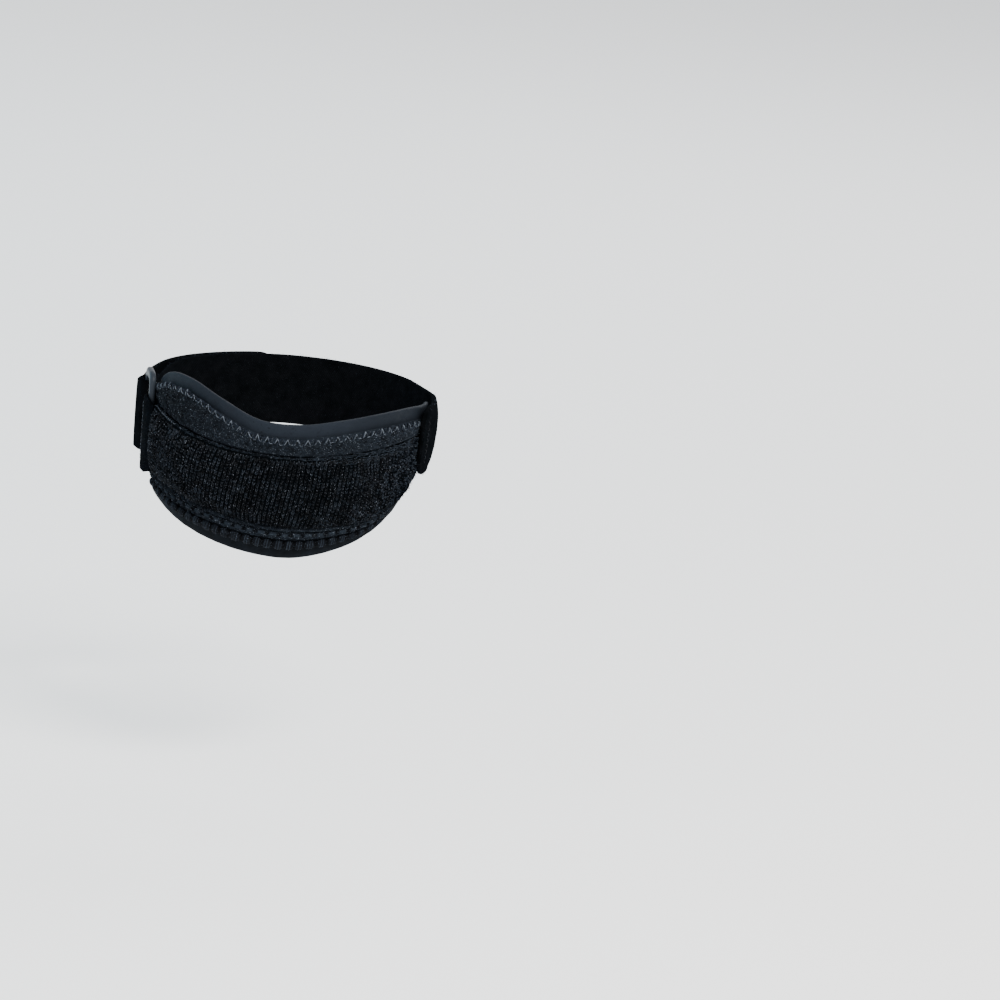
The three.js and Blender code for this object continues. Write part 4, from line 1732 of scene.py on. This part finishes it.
@dataclass
class RingTab:
    """The knit tab that holds the ring's front bar."""

    pad: Pad
    ring: RingPlan
    cushion: Cushion
    width: float = 28.8
    pad_height: float = -7.7
    ring_height: float = -4.0
    curl: float = 1.1
    flare: float = 5.2
    turn_stops: int = 30

    def route(self) -> Route:
        """Returns the tab's way: along the liner, round the front bar, and back to the cushion.

        Returns:
            The route.
        """
        pad, ring, thickness = self.pad, self.ring, self.ring.tab_thickness
        end = self.cushion.first - 0.3
        inner = pad.face_inner + thickness / 2
        outer = pad.face_inner + float(self.cushion.crown(self.cushion.first)) - thickness / 2
        bar_out = ring.lift + ring.thickness / 2 + ring.bar_play + thickness / 2
        run = end - (ring.arc + ring.bar_offset)
        inward, outward = np.linspace(0, 0.4, 6), np.linspace(0.75, 0, 12)
        turn = ring.turn(ring.bar_offset, -1, thickness, np.pi / 2, self.turn_stops - len(inward) - 1)
        under = pad.leg.plan(end - inward * run, inner)[0]
        rise = outer + (bar_out - outer) * np.sin(outward * np.pi / 2)
        over = pad.leg.plan(end - outward * run, rise)[0]
        share = np.concatenate([inward, np.ones(len(turn)), outward])
        curl = np.concatenate([np.zeros(len(inward) + len(turn)), self.curl * (1 - outward)])
        bent = smoothstep(np.linspace(-np.pi / 2, np.pi / 2, len(turn)), 0.6, 1.55)
        lower = self.flare * np.concatenate([0 * inward, bent, 0.25 + outward]) / 2
        return Route(
            pad.leg, np.concatenate([under, turn, over]),
            self.pad_height + (self.ring_height - self.pad_height) * share - lower,
            curl, -lower, thickness, self.width,
        )

    def build(self) -> Object:
        """Makes the tab.

        Returns:
            The finished piece.
        """
        piece = self.route().solid("tab_loop", 30, 0.6, lambda along, rise: 0.06 * wander(along, rise, 2.5, 8))
        return settle(piece, TIGHT_KNIT, Slot.CUSHION, "ring_tab")


@dataclass
class ElasticStrap:
    """The elastic strap from the pad's right end, round the back, through the ring and back."""

    pad: Pad
    ring: RingPlan
    width: float = 32.0
    thickness: float = 2.2
    leg_gap: float = 0.1
    layer_gap: float = 0.3
    overlap: float = 29.0
    corner_radius: float = 8.0
    step_run: float = 24.0
    crown: float = 0.9
    curls: tuple[float, float] = (0.9, 2.8)
    heights: tuple[float, float, float] = (0.4, 1.8, -1.6)
    tail_length: float = 84.0
    tail_bulge: float = 5.0
    tail_curl: float = 2.4
    tail_radius: float = 10.0
    hook: tuple[float, float, float] = (1.2, 32.0, 26.0)
    # For each share of the tail's length from its fold: how much it bulges, and how near the ring's height it is.
    tail: tuple[tuple[float, float, float], ...] = (
        (0.02, 1.0, 1.0), (0.06, 0.9, 0.8), (0.14, 0.56, 0.45), (0.2, 0.43, 0.33),
        (0.33, 0.24, 0.08), (0.48, 0.05, 0.0), (0.6, 0.0, 0.0), (1.0, 0.0, 0.0),
    )

    @property
    def on_leg(self) -> float:
        """How far out the strap's mid line is on the leg."""
        return self.leg_gap + self.thickness / 2

    @property
    def on_pad(self) -> float:
        """How far out the strap's mid line is over the pad's end."""
        return self.pad.face_outer + self.layer_gap + self.crown + self.thickness / 2

    @property
    def rear_bar(self) -> float:
        """The arc of the ring's rear bar, the long way round."""
        return self.pad.leg.girth() + self.ring.arc - self.ring.bar_offset

    def over_pad(self) -> tuple[Array, ...]:
        """Returns the rows over the pad's right end: plan, height, curl and cut.

        Returns:
            The four rows.
        """
        pad = self.pad
        first = pad.end - self.overlap
        arc = rounded_stops(first, pad.end, (self.corner_radius, 0.0), 1.2)
        blend = smoothstep(arc, first + self.corner_radius, pad.end - pad.end_inset)
        curl = self.curls[0] + (self.curls[1] - self.curls[0]) * blend
        height = np.full(arc.shape, self.heights[0])
        return pad.leg.plan(arc, self.on_pad)[0], height, curl, corner_cut(arc - first, self.corner_radius)

    def behind(self) -> tuple[Array, ...]:
        """Returns the rows round the back of the leg.

        Returns:
            The four rows.
        """
        pad = self.pad
        arc = stops(pad.end, self.rear_bar - 12, 1.4)[1:]
        left = np.maximum(0, 1 - (arc - pad.end) / self.step_run)
        share = (arc - pad.end) / (self.rear_bar - pad.end)
        right, back, at_ring = self.heights
        lift = right + (back - right) * np.minimum(1, 2 * share)
        height = lift + (at_ring - lift) * smoothstep(share, 0.8, 1)
        out = self.on_leg + (self.on_pad - self.on_leg) * left**2
        return pad.leg.plan(arc, out)[0], height, self.curls[1] * left, np.zeros(arc.shape)

    def folded_back(self) -> tuple[Array, ...]:
        """Returns the rows round the ring's rear bar and back to the tail's end.

        Returns:
            The four rows.
        """
        turn = self.ring.turn(-self.ring.bar_offset, 1, self.thickness, math.pi / 3, 18)
        table = np.array(self.tail)
        distance = rounded_stops(table[0, 0] * self.tail_length, self.tail_length, (0.0, self.tail_radius), 1.2)
        share = distance / self.tail_length
        bulge = np.maximum(0, smooth_between(table, 1, share))
        lifted = self.thickness + self.hook[0] + 2 * self.layer_gap
        out = self.on_leg + lifted + self.tail_bulge * bulge
        back, at_ring = self.heights[1:]
        height = back + (at_ring - back) * smooth_between(table, 2, share)
        curl = -self.tail_curl * bulge * np.minimum(1, share / 0.06) ** 2
        cut = corner_cut(self.tail_length - distance, self.tail_radius)
        plan = self.pad.leg.plan(self.rear_bar - distance, out)[0]
        still = np.zeros(len(turn))
        return (
            np.concatenate([turn, plan]), np.concatenate([still + at_ring, height]),
            np.concatenate([still, curl]), np.concatenate([still, cut]),
        )

    def route(self) -> Route:
        """Returns the strap's whole way.

        Returns:
            The route.
        """
        parts = zip(self.over_pad(), self.behind(), self.folded_back())
        plan, height, curl, cut = (np.concatenate(part) for part in parts)
        return Route(self.pad.leg, plan, height, curl, cut, self.thickness, self.width)

    def build(self) -> Object:
        """Makes the strap.

        Returns:
            The finished piece.
        """
        route = self.route()
        piece = route.solid("elastic_strap", 62, 0.95, self.relief)
        length = float(route.reach()[-1])
        LOG.info("strap: flat %.1f by %.1f mm", length, self.width)
        return settle(piece, BRUSHED_ELASTIC, Slot.STRAP, "strap")

    def relief(self, along: Array, rise: Array) -> Array:
        """Returns how far the webbing's cords and its two closer edges stand off its face.

        Args:
            along: Distances along the strap, in millimetres.
            rise: Distances up from its middle.

        Returns:
            The rise at each place.
        """
        cords = np.abs(np.sin(np.pi * rise / 1.9)) * (1 - smoothstep(np.abs(rise), 13.2, 13.8))
        edges = ridge(np.abs(rise), 14.6, 1.2)
        return 0.05 * wander(along, rise, 6.0, 31) + 0.07 * cords + 0.1 * edges

    def hook_patch(self) -> Object:
        """Makes the patch of hook tape inside the tail's end.

        Returns:
            The finished piece.
        """
        thickness, length, width = self.hook
        inner = self.on_leg + self.thickness / 2 + self.layer_gap
        first = self.rear_bar - self.tail_length + 3
        arcs = stops(first, first + length, 1.0)[:, None]
        foot = np.full(len(arcs), self.heights[1] - width / 2)
        out, height = section_rings(strip_section(20), inner, inner + thickness, foot, foot + width, 0.4)
        piece = closed_mesh("hook_tape", self.pad.leg.place(arcs, out, height), cloth_of(arcs, height, out))
        return settle(piece, WOVEN_HOOK_TAPE, Slot.HOOK, "hook_patch")


@dataclass
class Sewing:
    """The threads and the loose fibres that show."""

    pad: Pad
    upper: SeamBand
    cushion: Cushion
    tab: RingTab
    strap: ElasticStrap
    step: float = 0.11

    def overlock(self) -> None:
        """Sews the grey overlock row along the liner's upper border."""
        arc = np.arange(self.upper.first() - 1.5, self.upper.last, self.step)
        out = self.pad.face_outer

        def height(at: Array, share: Array) -> Array:
            """Returns the height across the row."""
            return self.pad.band_top(at) - self.upper.bare(at) + (share - 0.5) * 2

        face = Face(lambda at, share: self.pad.leg.place(at, out, height(at, share)), height)
        swing = 1 + 0.25 * wander(arc, 0 * arc, 6.0, 41)
        lines = (
            ("overlock_looper", 0.3, -0.1, Thread(ThreadPath.WHIP, LOOPER_THREAD, 2.25, 1.1, 0.4, 0.7)),
            ("overlock_needle", 0.4, 0.5, Thread(ThreadPath.ZIGZAG, SEWING_THREAD, 4.5, 1.25, -0.45, 0.4)),
        )
        for name, share, lift, thread in lines:
            thread.sew(name, face.spots(arc, np.full(arc.shape, share), lift=lift), Slot.SEAM, size=swing)

    def cover_seam(self) -> None:
        """Sews the fine light row along the cushion's upper edge, near the ring."""
        arc = np.arange(self.cushion.first + 0.3, self.cushion.first + 17, 0.1)
        spots = self.cushion.face().spots(arc, np.full(arc.shape, 0.975), lift=0.55)
        thread = Thread(ThreadPath.ZIGZAG, SEWING_THREAD, 1.5, 0.3, 0.1, 0.22)
        thread.sew("cushion_edge_row", spots, Slot.CUSHION)

    def tab_row(self) -> None:
        """Sews the light row up the ring tab's fold."""
        route = self.tab.route()
        spots = route.across(float(route.reach()[self.tab.turn_stops - 4]), 0.04, 260, 0.05)
        Thread(ThreadPath.ZIGZAG, SEWING_THREAD, 1.6, 0.4, 0.12, 0.24).sew("tab_row", spots, Slot.CUSHION)

    def strap_rows(self) -> None:
        """Sews the black rows that hold the strap's start to the pad and the hook tape to its tail."""
        route = self.strap.route()
        end = float(route.reach()[-1])
        thread = Thread(ThreadPath.RUNNING, DARK_THREAD, 2.6, 0.0, 0.4, 0.5)
        # Where each row is along the strap, and the share of the width that it leaves free.
        for name, at, margin in (
            ("strap_start_row", 4.0, 0.2), ("tail_end_row", end - 3.2, 0.13), ("tail_inner_row", end - 35.5, 0.13),
        ):
            thread.sew(name, route.across(at, margin, 300, 0.1), Slot.STRAP)

    def fibres(self, name: str, piece: Object, amount: Array, slot: Slot, density: float) -> Object:
        """Sheds loose fibres from a piece.

        Args:
            name: The new piece's name.
            piece: What they stand on.
            amount: How many there are at each of its points, as a share.
            slot: The record's slot.
            density: The most to a square centimetre.

        Returns:
            The fibres.
        """
        carrier = new_object(name + "_ground", piece.data.copy())
        store(carrier.data, fuzz=amount)
        return grow(name, carrier, fuzz_tree(), LOOSE_FIBRE, slot, {
            "Density": density * 1e4, "Length": 1.3 * MM, "Thickness": 0.09 * MM, "Lean": 0.9, "Seed": 7,
        })

    def fuzz(self, padding: Object, webbing: Object) -> None:
        """Sheds the fibres of the cushion, most at its loose right end, and of the strap's edges.

        Args:
            padding: The cushion's body.
            webbing: The strap.
        """
        along, _, out = cloth_fields(padding)
        amount = (0.12 + smoothstep(along, 35, 62)) * (out > self.pad.face_inner + 0.5)
        self.fibres("cushion_fuzz", padding, amount, Slot.CUSHION, 120.0)
        _, rise, out = cloth_fields(webbing)
        amount = smoothstep(np.abs(rise), 14.5, 15.8) * (out > 0)
        self.fibres("strap_fuzz", webbing, amount, Slot.STRAP, 35.0)

    def drawn_strands(self, below_edge: float = 3.4, above_edge: float = 1.0, strands: int = 7) -> None:
        """Lays the yarn that runs to and fro along the upper seam's right half, where the knit is drawn.

        Args:
            below_edge: How far below the cushion's edge the lowest yarn can lie, in millimetres.
            above_edge: How far above it the highest can lie.
            strands: How many times the yarn runs along the seam.
        """
        reach = below_edge + above_edge

        def place(at: Array, share: Array) -> Array:
            """Returns points over the seam, in metres.

            Args:
                at: Distances along the leg.
                share: Shares of the way up over the seam.

            Returns:
                The points.
            """
            below = below_edge - reach * share
            cover = self.cushion.out(at, 1 - below / self.cushion.span(at))
            out = np.maximum(cover, self.pad.face_inner + 1.7)
            return self.pad.leg.place(at, out, self.cushion.top(at) - below)

        arcs, shares = [], []
        for step, share in enumerate(np.linspace(0.08, 0.96, strands)):
            run = np.arange(11 + 2.5 * abs(step - 5), 62 + 0.4 * step, 0.25)[:: (-1) ** step]
            arcs.append(run)
            shares.append(share + 0.07 * wander(run, 9 * share + 0 * run, 7.0, 61))
        arc, share = np.concatenate(arcs), np.concatenate(shares)
        tint = np.clip(0.75 + 0.7 * wander(arc, 30 * share, 5.0, 63), 0, 1.6)
        spots = Face(place, lambda at, share: reach * share).spots(arc, share, lift=0.2)
        Thread(ThreadPath.RUNNING, SEAM_KNIT, 3.3, 0.0, 0.3, 0.36).sew("drawn_strands", spots, Slot.SEAM, tint=tint)

    def sew(self) -> None:
        """Sews every row."""
        self.overlock()
        self.drawn_strands()
        self.cover_seam()
        self.tab_row()
        self.strap_rows()


def cloth_fields(piece: Object) -> Array:
    """Returns where each point of a piece is on its flat cloth, in millimetres: along, up and out.

    Args:
        piece: The piece.

    Returns:
        A row for each of the three.
    """
    values = np.empty(len(piece.data.vertices) * 3, np.float32)
    piece.data.attributes["cloth"].data.foreach_get("vector", values)
    return values.reshape(-1, 3).T / MM


# --- the studio


@dataclass(frozen=True)
class Studio:
    """The floor, the lights and the camera. Distances are in metres and angles in degrees."""

    elevation: float = 13.0
    distance: float = 2.5
    lens: float = 200.0
    sensor: float = 36.0
    roll: float = 4.5
    origin_pixel: tuple[float, float] = (290.0, 420.0)
    picture: float = 1000.0
    floor_drop: float = 0.16
    floor_size: float = 40.0
    lights: tuple[tuple[str, tuple[float, float, float], float, float, str], ...] = (
        ("key", (0.9, -1.3, 1.5), 0.9, 75.0, "#fffaf4"),
        ("fill", (-1.6, -1.0, 0.6), 1.4, 16.0, "#f4f8ff"),
        ("rim", (-2.0, 0.9, 0.7), 0.8, 34.0, "#8fd0e4"),
        ("back", (0.6, 1.6, 1.3), 1.0, 18.0, "#ffffff"),
    )

    def build(self) -> None:
        """Makes the floor, the lights and the camera."""
        self.floor()
        for name, place, size, power, colour in self.lights:
            self.light(name, Vector(place), size, power).color = linear(colour)[:3]
        self.camera()
        world = bpy.data.worlds.new("studio")
        world.use_nodes = True
        sky = world.node_tree.nodes["Background"].inputs
        sky["Color"].default_value, sky["Strength"].default_value = linear("#f6f8fb"), 1.2
        bpy.context.scene.world = world

    def floor(self) -> None:
        """Makes the plain pale floor."""
        half = self.floor_size / 2
        corners = [(-half, -half), (half, -half), (half, half), (-half, half)]
        mesh = bpy.data.meshes.new("floor")
        mesh.from_pydata([(x, y, -self.floor_drop) for x, y in corners], [], [(0, 1, 2, 3)])
        made = bpy.data.materials.new("painted_floor_matt")
        made.use_nodes = True
        shader = made.node_tree.nodes["Principled BSDF"]
        shader.inputs["Base Color"].default_value = linear("#fafafa")
        shader.inputs["Roughness"].default_value = 0.9
        mesh.materials.append(made)
        new_object("floor", mesh)

    def light(self, name: str, place: Vector, size: float, power: float) -> bpy.types.Light:
        """Adds a soft area light that faces the strap.

        Args:
            name: The light's name.
            place: Where it hangs.
            size: Its side.
            power: Its power in watts.

        Returns:
            The light.
        """
        data = bpy.data.lights.new(name, "AREA")
        data.size = size
        data.energy = power
        lamp = new_object(name, data)
        lamp.location = place
        lamp.rotation_mode = "QUATERNION"
        lamp.rotation_quaternion = place.to_track_quat("Z", "Y")
        return data

    def camera(self) -> None:
        """Sets the camera at the photograph's angle, aimed aside so that the strap keeps its place."""
        tilt, roll = math.radians(self.elevation), math.radians(self.roll)
        back = Vector((0, -math.cos(tilt), math.sin(tilt)))
        right, up = Vector((1, 0, 0)), Vector((0, math.sin(tilt), math.cos(tilt)))
        across = math.cos(roll) * right + math.sin(roll) * up
        upward = -math.sin(roll) * right + math.cos(roll) * up
        straight = Matrix((across, upward, back)).transposed()
        focal = self.lens / self.sensor * self.picture
        half = self.picture / 2
        aim = Vector((self.origin_pixel[0] - half, half - self.origin_pixel[1], -focal)).normalized()
        turned = straight @ aim.rotation_difference(Vector((0, 0, -1))).to_matrix()
        data = bpy.data.cameras.new("camera")
        data.lens, data.sensor_width = self.lens, self.sensor
        data.clip_start, data.clip_end = 0.05, 100.0
        camera = new_object("camera", data)
        camera.matrix_world = Matrix.Translation(back * self.distance) @ turned.to_4x4()
        bpy.context.scene.camera = camera


def seam_bands(pad: Pad) -> tuple[SeamBand, SeamBand]:
    """Plans the knit strips above and below the cushion.

    Args:
        pad: The pad that they lie on.

    Returns:
        The upper and the lower one.
    """
    gap = pad.seam_gap / 2
    upper = SeamBand(
        pad, "upper_knit", "upper_seam_band",
        lambda arc: pad.line(PadLine.UPPER_SEAM, arc) + gap, pad.band_top, pad.end - pad.end_inset,
        ridges=((0.1, 0.14, 0.15),), bare_top=1.4, open_share=0.4,
    )
    lower = SeamBand(
        pad, "lower_knit", "lower_seam_band",
        lambda arc: pad.hem_line(arc) + gap, lambda arc: pad.line(PadLine.LOWER_SEAM, arc) - gap, pad.end - 43.0,
        ridges=((0.86, 0.14, 0.5), (0.64, 0.1, -0.9), (0.36, 0.18, 0.25), (0.06, 0.1, -0.4)),
        holes=(0.4, 5.0, 1.0, 0.8), seed=15,
    )
    return upper, lower


def main() -> None:
    """Builds and dresses the strap, sub-assembly by sub-assembly."""
    logging.basicConfig(level=logging.INFO, format="%(message)s")
    Studio().build()
    pad = Pad()
    ring = RingPlan()
    knitted = stitch_tree()
    upper, lower = seam_bands(pad)
    cushion = Cushion(pad)
    tab = RingTab(pad, ring, cushion)
    strap = ElasticStrap(pad, ring)
    PadBase(pad).build()
    for band in (upper, lower):
        band.ground()
        band.stitches(knitted)
    EdgePiping(pad).build()
    cushion.simulate()
    padding = cushion.ground()
    cushion.columns(knitted)
    Ring(ring).build()
    tab.build()
    webbing = strap.build()
    strap.hook_patch()
    sewing = Sewing(pad, upper, cushion, tab, strap)
    sewing.sew()
    sewing.fuzz(padding, webbing)


if __name__ == "__main__":
    main()
